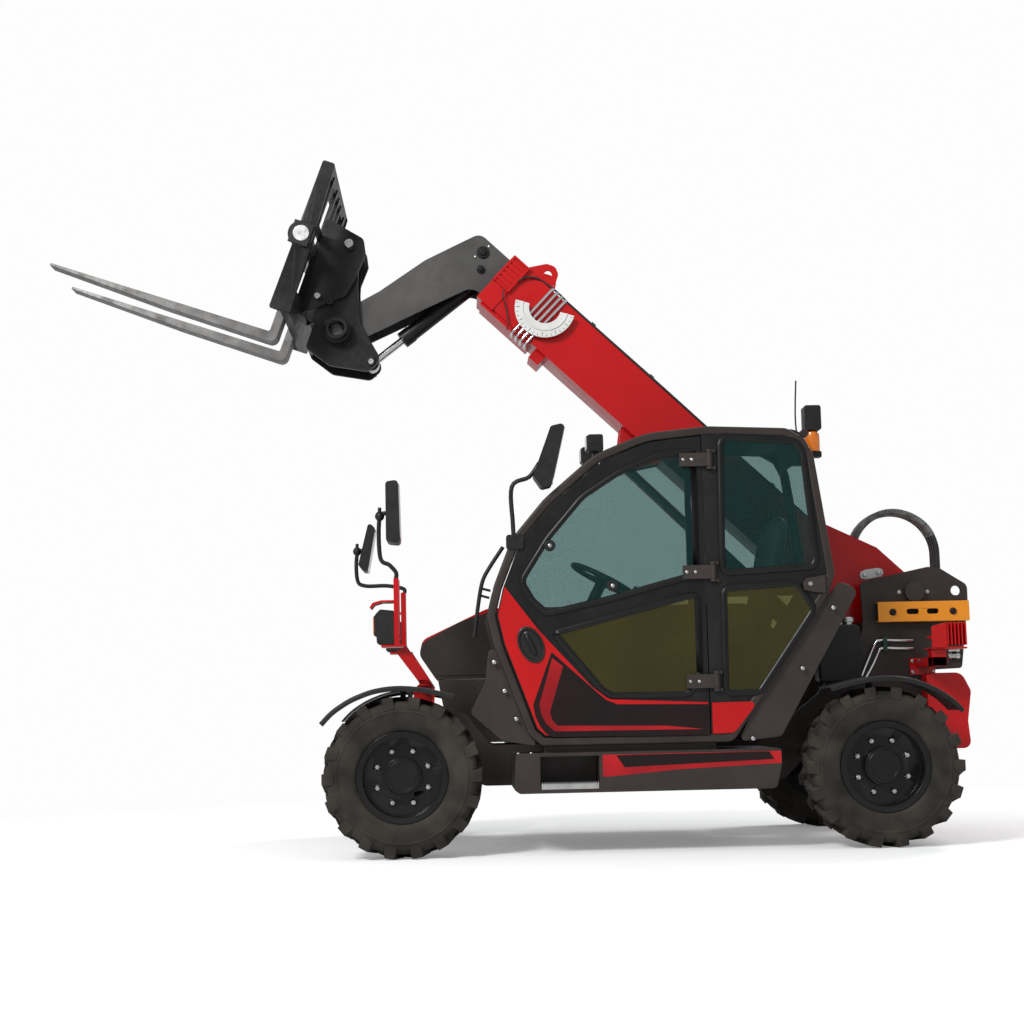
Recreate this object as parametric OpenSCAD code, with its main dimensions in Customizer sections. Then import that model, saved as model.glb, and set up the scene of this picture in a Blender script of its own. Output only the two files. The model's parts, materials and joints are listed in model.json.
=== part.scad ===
// Compact telehandler with a raised telescopic boom, a fork carriage, a cab on the left and an engine on the right.
// X runs to the rear, Y to the machine's right and Z up. The origin is on the ground, in the middle of the length.

/* [Running gear] */
// Distance between the axles
wheelbase = 2505; // [2400:5:2600]
// Distance between the wheel centre planes
track = 1650; // [1620:5:1720]
// Diameter over the tyre lugs
tyre_d = 830; // [800:5:850]
// Width of a tyre
tyre_w = 305; // [280:5:320]
// Height of the tyre lugs
lug_h = 24; // [12:1:30]
// Lugs on each shoulder of a tyre
lug_count = 18; // [12:1:22]
// Width of a lug around the tyre
lug_w = 62; // [40:1:70]
// Diameter over the rim flanges
rim_d = 472; // [456:2:490]
// Thickness of the rim steel
rim_wall = 12; // [6:1:16]
// Diameter of the stub axle
spindle_d = 90; // [70:2:100]
// Distance from the wheel centre plane in to the kingpin
kingpin_inset = 175; // [165:5:190]
// Diameter of the kingpins
kingpin_d = 60; // [40:2:70]
// Diameter of the axle tubes
axle_tube_d = 140; // [110:5:150]
// Diameter of the differential housing
diff_d = 300; // [240:5:320]

/* [Frame] */
// Width over the two frame plates
frame_w = 580; // [560:5:600]
// Thickness of the frame plates
frame_plate = 20; // [12:1:25]
// Height of the belly of the frame
belly_z = 335; // [300:5:345]
// Height of the top of the boom tower
tower_z = 1502; // [1480:2:1540]
// Rear end of the boom tower behind the front axle
tower_x = 3177; // [3150:1:3220]
// Half width of the counterweight
weight_half_w = 405; // [340:5:410]

/* [Boom] */
// Angle of the boom above level
boom_angle = 43.5; // [40:0.5:50]
// Boom pivot behind the front axle
pivot_x = 2870; // [2850:1:2890]
// Height of the boom pivot
pivot_z = 1362; // [1350:1:1370]
// Diameter of the boom pivot pin
pivot_d = 80; // [60:2:90]
// Boom pivot to the front end of the outer boom
boom_len = 2982; // [2900:1:3050]
// Width of the outer boom
boom_w = 280; // [260:2:290]
// Height of the outer boom
boom_h = 315; // [300:1:320]
// Height of the pivot above the top of the outer boom
boom_drop = 60; // [50:1:70]
// Wall of the outer boom
boom_wall = 10; // [6:1:14]
// Height of the inner boom
inner_h = 262; // [250:1:270]
// Width of the inner boom
inner_w = 224; // [210:2:230]
// Wall of the inner boom
inner_wall = 10; // [6:1:14]
// Boom pivot to the carriage pivot, along the boom
head_along = 3434; // [3400:1:3470]
// Boom pivot down to the carriage pivot, across the boom
head_down = 1081; // [1050:1:1110]
// Diameter of the boom head
head_d = 190; // [170:2:200]
// Diameter of the carriage pivot pin
head_pin_d = 100; // [80:2:110]

/* [Cylinders] */
// Foot of the lift cylinder behind the front axle
lift_foot_x = 2600; // [2590:1:2620]
// Height of the foot of the lift cylinder
lift_foot_z = 850; // [840:1:860]
// Boom pivot to the rod eye of the lift cylinder, along the boom
lift_eye_along = 1700; // [1680:1:1720]
// Boom pivot down to the rod eye of the lift cylinder
lift_eye_down = 525; // [520:1:535]
// Diameter of the lift cylinder
lift_d = 112; // [100:2:120]
// Diameter of the lift rod
lift_rod_d = 60; // [45:1:70]
// Diameter of the tilt cylinder
tilt_d = 92; // [80:2:100]
// Diameter of the tilt rod
tilt_rod_d = 45; // [35:1:55]

/* [Carriage] */
// Angle of the forks above level
fork_angle = 19.5; // [17:0.5:20]
// Width over the carriage
carriage_w = 1080; // [1000:5:1140]
// Height of the carriage above its pivot
carriage_top = 826; // [780:1:860]
// Length of a fork ahead of its shank
fork_len = 1300; // [1000:1:1320]
// Width of a fork
fork_w = 120; // [80:1:130]
// Thickness of a fork
fork_t = 52; // [40:1:60]
// Distance between the fork centres
fork_gap = 540; // [420:5:700]
// Diameter of the fork shaft
shaft_d = 62; // [50:1:70]

/* [Cab] */
// Outer left side of the cab from the middle of the machine
cab_left = 930; // [910:1:940]
// Right side of the cab from the middle of the machine
cab_right = 190; // [180:1:220]
// Height of the cab roof
cab_top = 2205; // [2180:1:2240]
// Height of the bottom of the cab
cab_low = 558; // [557:1:570]
// Width of the cab frame tubes
cab_tube = 45; // [35:1:55]
// Rear edge of the door behind the front axle
door_rear = 1600; // [1560:1:1620]
// Thickness of the door
door_t = 40; // [30:1:42]
// Thickness of the glass
glass_t = 6; // [4:1:10]

/* [Hood] */
// Outer right side of the engine hood
hood_out = 930; // [900:1:940]
// Front end of the hood behind the front axle
hood_front = 70; // [40:1:100]
// Rear end of the hood behind the front axle
hood_rear = 2190; // [2150:1:2230]
// Height of the hood
hood_top = 1345; // [1320:1:1370]
// Height of the bottom edge of the hood
hood_low = 935; // [930:1:960]
// Wall of the hood
hood_wall = 20; // [8:1:25]

/* [Hidden] */
$fn = 48;
cut = 5;
run_gap = 0.05;
free_gap = 5;
seat_gap = 0.3;
fold = 1.0;

tyre_r = tyre_d / 2;
axle_z = tyre_r;
rim_r = rim_d / 2;
tread_r = tyre_r - lug_h;
bead_r = rim_r - 20;
bead_half = tyre_w / 2 - 38;
kingpin_y = track / 2 - kingpin_inset;

// Turns a point in X and Z about the origin so that the front rises
function turn_up(p, a) = [p[0] * cos(a) + p[1] * sin(a), p[1] * cos(a) - p[0] * sin(a)];

// Turns an angle on a circle into a point
function polar(r, a) = [r * cos(a), r * sin(a)];

// Replaces one corner of an outline by an arc that touches both of its sides
function corner(a, p, b, r, n) =
    let (
        u = (a - p) / norm(a - p),
        v = (b - p) / norm(b - p),
        half = acos(max(-1, min(1, u * v))) / 2,
        mid = (u + v) / norm(u + v),
        c = p + mid * r / sin(half),
        s = p + u * r / tan(half) - c,
        e = p + v * r / tan(half) - c,
        sa = atan2(s[1], s[0]),
        turn = atan2(s[0] * e[1] - s[1] * e[0], s * e)
    )
    [for (i = [0:n]) c + polar(r, sa + turn * i / n)];

function flat(p) = [p[0], p[1]];

// Outline with round corners from a list of [x, z, radius]
function rounded(pts, n = 5) =
    let (k = len(pts))
    [for (i = [0:k - 1]) each corner(flat(pts[(i + k - 1) % k]), flat(pts[i]), flat(pts[(i + 1) % k]), pts[i][2], n)];

// The same list drawn in from its sides by a distance, for an outline whose corners all turn the same way
function inset(pts, d) =
    let (k = len(pts))
    [for (i = [0:k - 1])
        let (
            p = flat(pts[i]),
            u = (flat(pts[(i + k - 1) % k]) - p) / norm(flat(pts[(i + k - 1) % k]) - p),
            v = (flat(pts[(i + 1) % k]) - p) / norm(flat(pts[(i + 1) % k]) - p),
            half = acos(u * v) / 2,
            q = p + (u + v) / norm(u + v) * d / sin(half)
        )
        [q[0], q[1], max(pts[i][2] - d, 2 * fold)]];

// Places in the machine's side view that several pieces share
head_at = [pivot_x, pivot_z] + turn_up([-head_along, -head_down], boom_angle);
fork_low = -214;
rail_front = -284;
shank_back = rail_front - 2;
tip_t = 14;
tip_rise = 20;
fork_tip = head_at + turn_up([shank_back - fork_t - fork_len, fork_low + tip_rise], fork_angle);
front_axle_x = -(fork_tip[0] + tower_x) / 2;

// Frames of reference
module in_machine() { translate([front_axle_x, 0, 0]) children(); }
module in_boom() {
    in_machine() translate([pivot_x, 0, pivot_z]) rotate([0, boom_angle, 0]) children();
}
module in_carriage() {
    in_boom() translate([-head_along, 0, -head_down]) rotate([0, fork_angle - boom_angle, 0]) children();
}
module in_wheel(axle, side) {
    in_machine() translate([axle * wheelbase, side * track / 2, axle_z])
        mirror([0, side > 0 ? 1 : 0, 0]) mirror([axle, 0, 0]) rotate([90, 0, 0]) children();
}

// A side profile drawn in X and Z, from one Y to another
module across(y0, y1) { translate([0, y1, 0]) rotate([90, 0, 0]) linear_extrude(y1 - y0) children(); }
module both_sides() {
    children();
    mirror([0, 1, 0]) children();
}
module bar_y(d, y0, y1) { translate([0, y0, 0]) rotate([-90, 0, 0]) cylinder(d = d, h = y1 - y0); }
module tube_y(d, bore, y0, y1) {
    difference() {
        bar_y(d, y0, y1);
        bar_y(bore, y0 - cut, y1 + cut);
    }
}
module box(x0, x1, y0, y1, z0, z1) { translate([x0, y0, z0]) cube([x1 - x0, y1 - y0, z1 - z0]); }

// Wheels
tyre_wall = 22;
side_r = (rim_r + tread_r) / 2;
lug_seat = 14;
lug_skew_share = 0.95;
lug_past_share = 0.12;

module tyre_section() {
    half = tyre_w / 2;
    polygon(concat(
        [[bead_r, bead_half], [rim_r, bead_half], [side_r, half], [tread_r - lug_h, half - tyre_wall / 2],
         [tread_r, half - 2 * tyre_wall]],
        [[tread_r, -half + 2 * tyre_wall], [tread_r - lug_h, -half + tyre_wall / 2], [side_r, -half],
         [rim_r, -bead_half], [bead_r, -bead_half]],
        [[bead_r, tyre_wall - bead_half], [side_r, tyre_wall - half], [tread_r - tyre_wall, 2 * tyre_wall - half],
         [tread_r - tyre_wall, half - 2 * tyre_wall], [side_r, half - tyre_wall], [bead_r, bead_half - tyre_wall]]));
}
module lug() {
    out = tyre_w / 2 - tyre_wall / 4;
    past = -tyre_w / 2 * lug_past_share;
    skew = lug_w * lug_skew_share;
    translate([tread_r - lug_seat - lug_h / 2, 0, 0]) rotate([0, 90, 0]) linear_extrude(lug_h * 2 + lug_seat)
        polygon([[-out, -lug_w / 2], [-out, lug_w / 2], [-out / 2, lug_w / 2 + skew / 4],
                 [-past, skew + lug_w / 3], [-past, skew - lug_w / 3], [-out / 2, skew / 4 - lug_w / 2]]);
}
module tyre(axle, side) {
    color("#2b2a28") in_wheel(axle, side) {
        rotate_extrude() tyre_section();
        intersection() {
            for (i = [0:lug_count - 1], row = [0, 1])
                rotate([0, 0, 360 / lug_count * (i + row / 2)]) mirror([0, 0, row]) lug();
            difference() {
                cylinder(r = tyre_r, h = tyre_w, center = true);
                cylinder(r = tread_r - lug_seat, h = tyre_w + cut, center = true);
            }
        }
    }
}

disc_z = 30;
hub_d = 200;
hub_out = 92;
nut_ring_d = 284;
nut_count = 8;
nut_d = 36;
nut_h = 18;
flange_z = bead_half + seat_gap;

module rim_section() {
    polygon([[bead_r - seat_gap, -flange_z], [rim_r, -flange_z], [rim_r, -flange_z - rim_wall],
             [bead_r - rim_wall, -flange_z - rim_wall], [bead_r - rim_wall, flange_z + rim_wall],
             [rim_r, flange_z + rim_wall], [rim_r, flange_z], [bead_r - seat_gap, flange_z]]);
}
module rim(axle, side) {
    color("#1d1c1c") in_wheel(axle, side) difference() {
        union() {
            rotate_extrude() rim_section();
            translate([0, 0, disc_z]) cylinder(r = bead_r - rim_wall / 2, h = rim_wall);
            translate([0, 0, disc_z - rim_wall]) cylinder(d = hub_d, h = hub_out + rim_wall - disc_z);
            for (i = [0:nut_count - 1]) rotate([0, 0, 360 / nut_count * (i + 1 / 2)])
                translate([nut_ring_d / 2, 0, disc_z]) cylinder(d = nut_d, h = nut_h + rim_wall, $fn = 6);
        }
        translate([0, 0, disc_z - rim_wall - cut]) cylinder(d = spindle_d + 2 * run_gap, h = spindle_in + rim_wall + cut);
    }
}

// Steering knuckles, which the wheels and fenders ride on
spindle_in = 40;
knuckle_d = 124;
arm_low = 90;
arm_t = 50;
collar_d = 160;
collar_t = 30;
steer_arm_len = 170;
steer_arm_w = 36;

module knuckle(axle, side) {
    color("#232323") in_wheel(axle, side) {
        translate([0, 0, -kingpin_inset]) {
            rotate([90, 0, 0]) cylinder(d = knuckle_d, h = 2 * (arm_low - seat_gap), center = true);
            rotate([90, 0, 0]) cylinder(d = kingpin_d, h = 2 * (arm_low + arm_t + free_gap), center = true);
            cylinder(d = spindle_d, h = kingpin_inset + disc_z + spindle_in - free_gap);
            translate([0, 0, knuckle_d / 2 + free_gap]) cylinder(d = collar_d, h = collar_t);
            translate([0, -steer_arm_w / 2, -steer_arm_w / 2]) cube([steer_arm_len, steer_arm_w, steer_arm_w]);
        }
    }
}

fender_t = 8;
fender_gap = 42;
fender_front = 424;
fender_rear = 279;
post_w = 30;
fender_in = tyre_w / 2;
fender_lip = 12;

// Side outline of the top of a fender, from its outer end to its end at the cab
function fender_line() =
    let (top = tyre_r + fender_gap)
    [[-fender_front, top * 0.64], [-fender_front * 0.74, top * 0.83], [-fender_front * 0.36, top * 0.985],
     [0, top + fender_t], [fender_rear * 0.72, top], [fender_rear, top * 0.955]];

module fender(axle, side) {
    color("#202020") in_wheel(axle, side) {
        line = fender_line();
        translate([0, 0, -fender_in]) linear_extrude(2 * fender_in)
            polygon(concat(line, [for (i = [len(line) - 1:-1:0]) line[i] - [0, fender_t]]));
        translate([0, 0, fender_in - fender_lip]) linear_extrude(fender_lip)
            polygon(concat(line, [for (i = [len(line) - 1:-1:0]) line[i] - [0, 3 * fender_t]]));
        translate([-post_w / 2, arm_low + arm_t + free_gap, -kingpin_inset - post_w / 2])
            cube([post_w, tyre_r + fender_gap - arm_low - arm_t - free_gap, post_w]);
        translate([-post_w / 2, tyre_r + fender_gap - post_w / 2, -kingpin_inset - post_w / 2])
            cube([post_w, post_w / 2, kingpin_inset]);
    }
}

// Axle beams
pad_half = 90;
pad_z = 500;
yoke_in = 80;
yoke_w = 130;
yoke_back = 60;

module yoke() {
    translate([0, -kingpin_y, 0]) {
        difference() {
            union() {
                for (s = [-1, 1]) translate([0, 0, s * (arm_low + arm_t / 2)]) {
                    cylinder(d = yoke_w, h = arm_t, center = true);
                    translate([-yoke_w / 2, 0, -arm_t / 2]) cube([yoke_w, yoke_in + yoke_back, arm_t]);
                }
                translate([-yoke_w / 2, yoke_in, -arm_low]) cube([yoke_w, yoke_back, 2 * arm_low]);
            }
            cylinder(d = kingpin_d + 2 * run_gap, h = 2 * (arm_low + arm_t + cut), center = true);
        }
    }
}
module axle_beam(axle) {
    color("#262524") in_machine() translate([axle * wheelbase, 0, axle_z]) {
        both_sides() yoke();
        rotate([90, 0, 0]) cylinder(d = axle_tube_d, h = 2 * (kingpin_y - yoke_in - yoke_back / 2), center = true);
        intersection() {
            sphere(d = diff_d);
            cube([diff_d, diff_d * 0.8, diff_d], center = true);
        }
        both_sides() box(-pad_half, pad_half, -frame_w / 2 - frame_plate, -frame_w / 2 + 2 * frame_plate, 0,
                         pad_z - axle_z);
    }
}

// Frame plates with the boom tower, their cross pieces and the pivot pins
nose_x = -280;
nose_top = 740;
nose_low = 700;
nose_cross = -150;
shelf_x = 3045;
shelf_len = 76;
shelf_z = 1340;
sill_z = cab_low;
tail_x = 2890;
tail_z = 920;
belly_front = 420;
belly_rear = 2100;
pin_cap = 112;
pin_cap_t = 34;
plate_in = frame_w / 2 - frame_plate;
lift_pin_d = 60;
tie_d = 56;
tie_back = 66;
tie_down = 138;

module frame_outline() {
    polygon(rounded([
        [nose_x, pad_z, fold], [nose_x, nose_top, 40], [belly_front - 90, nose_top, 60], [belly_front + 50, sill_z, 60],
        [belly_rear - 110, sill_z, 80], [lift_foot_x - 300, lift_foot_z - 50, 60], [lift_foot_x - 20, pivot_z - 212, 90],
        [lift_foot_x - 31, tower_z - 80, 30], [tower_x - 219, tower_z, 80], [tower_x - 150, tower_z - 10, 60],
        [tower_x, tower_z - 106, 40], [tower_x, tower_z - 194, 30], [tower_x - 52, tail_z + 8, 20],
        [tail_x, tail_z, 20], [tail_x, pad_z, fold], [wheelbase - 245, pad_z, 40], [belly_rear, belly_z, 60],
        [belly_front, belly_z, 60], [belly_front - 140, pad_z, 40]]));
}
module chassis_frame() {
    color("#3a3330") in_machine() {
        both_sides() across(-frame_w / 2, -plate_in) difference() {
            frame_outline();
            translate([tower_x - tie_back, tower_z - tie_down]) circle(d = tie_d);
        }
        box(nose_cross, nose_cross + frame_plate, -plate_in, plate_in, pad_z, nose_low);
        box(shelf_x, shelf_x + shelf_len, -plate_in, plate_in, shelf_z - frame_plate, shelf_z);
        box(tail_x - frame_plate, tail_x, -plate_in, plate_in, pad_z, tail_z);
        box(belly_front + 60, belly_rear - 60, -plate_in, plate_in, belly_z, belly_z + frame_plate);
        translate([pivot_x, 0, pivot_z]) bar_y(pivot_d, -frame_w / 2, frame_w / 2);
        both_sides() translate([pivot_x, 0, pivot_z]) bar_y(pin_cap, -frame_w / 2 - pin_cap_t, -frame_w / 2);
        translate([lift_foot_x, 0, lift_foot_z]) bar_y(lift_pin_d, -plate_in - frame_plate / 2, plate_in + frame_plate / 2);
    }
}

weight_len = 245;
weight_low = 485;
module counterweight() {
    color("#c8141c") in_machine() across(-weight_half_w, weight_half_w)
        polygon(rounded([
            [tail_x, weight_low, 10], [tail_x, tail_z - 18, 30], [tail_x + weight_len * 0.8, tail_z - 18, 60],
            [tail_x + weight_len, tail_z - 120, 40], [tail_x + weight_len * 0.9, weight_low + 150, 60],
            [tail_x + weight_len * 0.95, weight_low, 40]]));
}

// Boom
boom_top = -boom_drop;
boom_bottom = -boom_drop - boom_h;
boom_mid = -boom_drop - boom_h / 2;
boom_back = 150;
boss_d = 170;
lug_plate = 25;
eye_w = 90;
eye_d = 100;
eye_gap = 10;
collar_len = 120;
collar_up = 8;
pad_t = (boom_h - inner_h) / 2 - boom_wall - seat_gap;
pad_side = (boom_w - inner_w) / 2 - boom_wall - seat_gap;
pad_len = 140;
block_w = 54;
block_h = 50;

module boom_section(w, h, wall) {
    difference() {
        square([w, h], center = true);
        square([w - 2 * wall, h - 2 * wall], center = true);
    }
}
module boom_tube(w, h, wall, x0, x1) {
    translate([x0, 0, boom_mid]) rotate([90, 0, 90]) linear_extrude(x1 - x0) boom_section(w, h, wall);
}
module boom_outer() {
    color("#c8141c") in_boom() {
        difference() {
            union() {
                boom_tube(boom_w, boom_h, boom_wall, -boom_len, -boom_back);
                boom_tube(boom_w + 2 * collar_up, boom_h + 2 * collar_up, boom_wall + collar_up, -boom_len,
                          collar_len - boom_len);
                both_sides() across(-boom_w / 2, lug_plate - boom_w / 2)
                    polygon([[-boom_back * 5, boom_top], [-boom_back * 2, boss_d / 2], [0, boss_d / 2],
                             [boss_d / 2, 0], [boss_d / 2, -boss_d / 2], [-boom_back, boom_bottom],
                             [-boom_back * 2, boom_bottom], [-boom_back * 5, boom_top - boom_wall]]);
                bar_y(boss_d, free_gap - plate_in, plate_in - free_gap);
                both_sides() across(-eye_w / 2 - eye_gap - lug_plate, -eye_w / 2 - eye_gap)
                    polygon([[-lift_eye_along - 160, boom_bottom + boom_wall / 2],
                             [-lift_eye_along - eye_d / 2, -lift_eye_down],
                             [-lift_eye_along - eye_d / 4, -lift_eye_down - eye_d / 2],
                             [-lift_eye_along + eye_d / 4, -lift_eye_down - eye_d / 2],
                             [-lift_eye_along + eye_d / 2, -lift_eye_down],
                             [-lift_eye_along + 160, boom_bottom + boom_wall / 2]]);
                both_sides() translate([-lift_eye_along, 0, -lift_eye_down])
                    bar_y(lift_pin_d, -eye_w / 2 - eye_gap - 2 * lug_plate, -eye_w / 2 - eye_gap);
                for (s = [-1, 1]) translate([pad_len - boom_len, 0, boom_mid + s * (inner_h + pad_t) / 2 + s * seat_gap])
                    cube([pad_len, inner_w / 2, pad_t + seat_gap], center = true);
                both_sides() translate([pad_len - boom_len, (inner_w + pad_side) / 2 + seat_gap, boom_mid])
                    cube([pad_len, pad_side + seat_gap, inner_h / 2], center = true);
            }
            bar_y(pivot_d + 2 * run_gap, -plate_in, plate_in);
        }
    }
    color("#c8141c") in_machine() translate([hose_mid[0] - hose_r, 0, hose_mid[1] - block_h - seat_gap])
        box(-block_w / 2, block_w / 2, -block_w * 1.4, block_w * 1.4, 0, block_h);
}

inner_back = 320;
neck_side = 15;
neck_root = boom_len + 62;
neck_half = inner_w / 2;

// Side outline of the neck that drops from the inner boom to the carriage pivot
function neck_outline() = [
    [-boom_len - 8, boom_mid + inner_h / 2, fold], [-boom_len - 245, boom_mid + inner_h / 2, 60],
    [-head_along + 80, -head_down + 660, 200], [-head_along + 10, -head_down + 340, 200],
    [-head_along - head_d / 2 + 12, -head_down + 60, 60], [-head_along, -head_down - 40, 40],
    [-head_along + head_d / 2 + 20, -head_down + 40, 60], [-neck_root, boom_mid - inner_h / 2, 80],
    [-boom_len - 8, boom_mid - inner_h / 2, fold]];
module neck_spine() {
    difference() {
        polygon(rounded(neck_outline()));
        translate([neck_side * 1.5, -neck_side]) polygon(rounded(neck_outline()));
        translate([-neck_root, -head_down - head_d]) square([head_d * 3, head_down * 2]);
        translate([-head_along - head_d, -head_down - head_d]) square([head_d * 3, head_d * 2]);
    }
}
tilt_foot_along = boom_len + 70;
tilt_foot_down = 235;
tilt_pin_d = 50;
module boom_inner() {
    color("#4a4846") in_boom() {
        difference() {
            union() {
                boom_tube(inner_w, inner_h, inner_wall, -boom_len - 9, -inner_back);
                both_sides() across(-neck_half, neck_side - neck_half) polygon(rounded(neck_outline()));
                across(neck_side / 2 - neck_half, neck_half - neck_side / 2) neck_spine();
                translate([-head_along, 0, -head_down]) bar_y(head_d, -neck_half - 3, neck_half + 3);
                translate([-tilt_foot_along, 0, -tilt_foot_down])
                    bar_y(tilt_pin_d, neck_side / 2 - neck_half, neck_half - neck_side / 2);
            }
            translate([-head_along, 0, -head_down]) bar_y(head_pin_d + 2 * run_gap, -neck_half - cut, neck_half + cut);
        }
    }
}

// Lift cylinder
lift_foot = [lift_foot_x, lift_foot_z];
lift_eye = [pivot_x, pivot_z] + turn_up([-lift_eye_along, -lift_eye_down], boom_angle);
lift_len = norm(lift_eye - lift_foot);
lift_angle = atan2(lift_eye[1] - lift_foot[1], lift_foot[0] - lift_eye[0]);
lift_barrel_len = 1290;
lift_rod_len = 910;
barrel_wall = 11;
gland_len = 70;

module in_lift() { in_machine() translate([lift_foot_x, 0, lift_foot_z]) rotate([0, lift_angle, 0]) children(); }
module along_x(d, x0, x1) { translate([x0, 0, 0]) rotate([0, 90, 0]) cylinder(d = d, h = x1 - x0); }
module barrel(d, rod_d, length, pin_d, w) {
    difference() {
        union() {
            along_x(d, -length, -pin_d * 0.7);
            along_x(d * 1.08, -length, gland_len - length);
            bar_y(pin_d * 1.8, -w / 2, w / 2);
        }
        along_x(d - 2 * barrel_wall, gland_len - length, -pin_d * 1.4);
        along_x(rod_d + 2 * run_gap, -length - cut, gland_len - length + cut);
        bar_y(pin_d + 2 * run_gap, -w, w);
    }
}
module rod(d, bore, eye, w, hole, reach, length) {
    difference() {
        union() {
            along_x(d, -reach, length - reach);
            along_x(bore - 2 * run_gap, length - reach - d, length - reach);
            translate([-reach, 0, 0]) bar_y(eye, -w / 2, w / 2);
        }
        translate([-reach, 0, 0]) bar_y(hole, -w, w);
    }
}
module lift_barrel() {
    color("#1f1f20") in_lift() barrel(lift_d, lift_rod_d, lift_barrel_len, lift_pin_d, eye_w);
}
module lift_rod() {
    color("#d8d8d8") in_lift()
        rod(lift_rod_d, lift_d - 2 * barrel_wall, eye_d, eye_w, lift_pin_d, lift_len, lift_rod_len);
}

// Tilt cylinder
tilt_eye_back = 233;
tilt_eye_down = 97;
tilt_foot = [-tilt_foot_along, -tilt_foot_down];
tilt_eye = [-head_along, -head_down] + turn_up([tilt_eye_back, -tilt_eye_down], fork_angle - boom_angle);
tilt_len = norm(tilt_eye - tilt_foot);
tilt_angle = atan2(tilt_eye[1] - tilt_foot[1], tilt_foot[0] - tilt_eye[0]);
tilt_barrel_len = 620;
tilt_rod_len = 515;
tilt_w = 80;

module in_tilt() { in_boom() translate([-tilt_foot_along, 0, -tilt_foot_down]) rotate([0, tilt_angle, 0]) children(); }
module tilt_barrel() {
    color("#1f1f20") in_tilt() barrel(tilt_d, tilt_rod_d, tilt_barrel_len, tilt_pin_d, tilt_w);
}
module tilt_rod() {
    color("#d8d8d8") in_tilt()
        rod(tilt_rod_d, tilt_d - 2 * barrel_wall, eye_d * 0.9, tilt_w, tilt_pin_d, tilt_len, tilt_rod_len);
}

// Quick coupler at the boom head
coupler_in = neck_half + 9;
coupler_plate = 24;
coupler_face = 120;
ring_t = 18;
hook_x = -86;
hook_z = 486;
lock_x = -95;
lock_z = 147;
hook_d = 44;

module coupler() {
    color("#1c1c1d") in_carriage() {
        difference() {
            union() {
                both_sides() across(-coupler_in - coupler_plate, -coupler_in)
                    polygon(rounded([
                        [-coupler_face - coupler_plate, -150, 30], [-coupler_face - coupler_plate, 440, 20],
                        [hook_x - 40, hook_z + 50, 30], [hook_x + 50, hook_z + 20, 30], [20, 300, 80], [105, 90, 60],
                        [tilt_eye_back + 60, -tilt_eye_down + 20, 50], [tilt_eye_back + 10, -tilt_eye_down - 70, 40],
                        [20, -205, 60]]));
                box(-coupler_face - coupler_plate, -coupler_face, -coupler_in - coupler_plate / 2,
                    coupler_in + coupler_plate / 2, -140, 400);
                bar_y(head_pin_d, -coupler_in - coupler_plate, coupler_in + coupler_plate);
                both_sides() bar_y(head_d - 10, -coupler_in - coupler_plate - ring_t, -coupler_in - coupler_plate);
                both_sides() translate([tilt_eye_back, 0, -tilt_eye_down])
                    bar_y(tilt_pin_d, -coupler_in - coupler_plate - ring_t, -tilt_w / 2 - eye_gap);
                both_sides() translate([hook_x, 0, hook_z])
                    bar_y(hook_d, -ear_out - ring_t, -coupler_in - coupler_plate / 2);
                both_sides() translate([lock_x, 0, lock_z])
                    bar_y(hook_d, -ear_out - ring_t, -coupler_in - coupler_plate / 2);
            }
            bar_y(head_pin_d - 16, -coupler_in - coupler_plate - ring_t - cut, coupler_in + coupler_plate + ring_t + cut);
        }
    }
}

// Fork carriage
ear_in = coupler_in + coupler_plate + free_gap;
ear_out = ear_in + 22;
end_plate = 20;
shaft_x = -315;
shaft_z = 384;
rail_back = -228;
rail_low = -66;
rail_h = 130;
bar_w = 40;
bar_shares = [-0.72, -0.28, 0, 0.28, 0.72];
cap_w = 150;
cap_t = 14;
cap_d = 92;

module carriage() {
    half = carriage_w / 2;
    color("#1b1b1c") in_carriage() difference() {
        union() {
            both_sides() across(-half, end_plate - half)
                polygon(rounded([[-350, rail_low, 12], [-338, carriage_top, 14], [-266, carriage_top, 14],
                                 [-228, rail_low, 12]]));
            box(rail_front, rail_back, -half + end_plate / 2, half - end_plate / 2, rail_low, rail_low + rail_h);
            box(-330, -272, -half + end_plate / 2, half - end_plate / 2, carriage_top - 70, carriage_top);
            for (i = bar_shares) box(rail_front, rail_front + end_plate, i * half - bar_w / 2, i * half + bar_w / 2,
                                     rail_low + rail_h / 2, carriage_top - bar_w);
            box(rail_front, rail_front + end_plate, -half + end_plate / 2, half - end_plate / 2, shaft_z + 2 * bar_w,
                shaft_z + 3 * bar_w);
            both_sides() across(-ear_out, -ear_in)
                polygon(rounded([[-275, 610, 20], [-30, 560, 40], [8, 483, 30], [0, 300, 60], [-20, 205, 30],
                                 [-240, 20, 30], [-275, 20, 10]]));
            both_sides() translate([shaft_x, 0, shaft_z]) bar_y(cap_w, -half - cap_t / 2, -half + end_plate / 2);
        }
        translate([shaft_x, 0, shaft_z]) bar_y(shaft_d + 2 * run_gap, -half - cut - cap_t, half + cut + cap_t);
        both_sides() translate([hook_x, 0, hook_z]) bar_y(hook_d + 2 * run_gap, -ear_out - cut, -ear_in + cut);
        both_sides() translate([lock_x, 0, lock_z]) bar_y(hook_d + 2 * run_gap, -ear_out - cut, -ear_in + cut);
    }
}
module fork_shaft() {
    half = carriage_w / 2 + cap_t / 2;
    color("#b9bcbe") in_carriage() translate([shaft_x, 0, shaft_z]) {
        bar_y(shaft_d, -half - cap_t, half + cap_t);
        both_sides() bar_y(cap_d, -half - cap_t, -half);
    }
}

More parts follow.
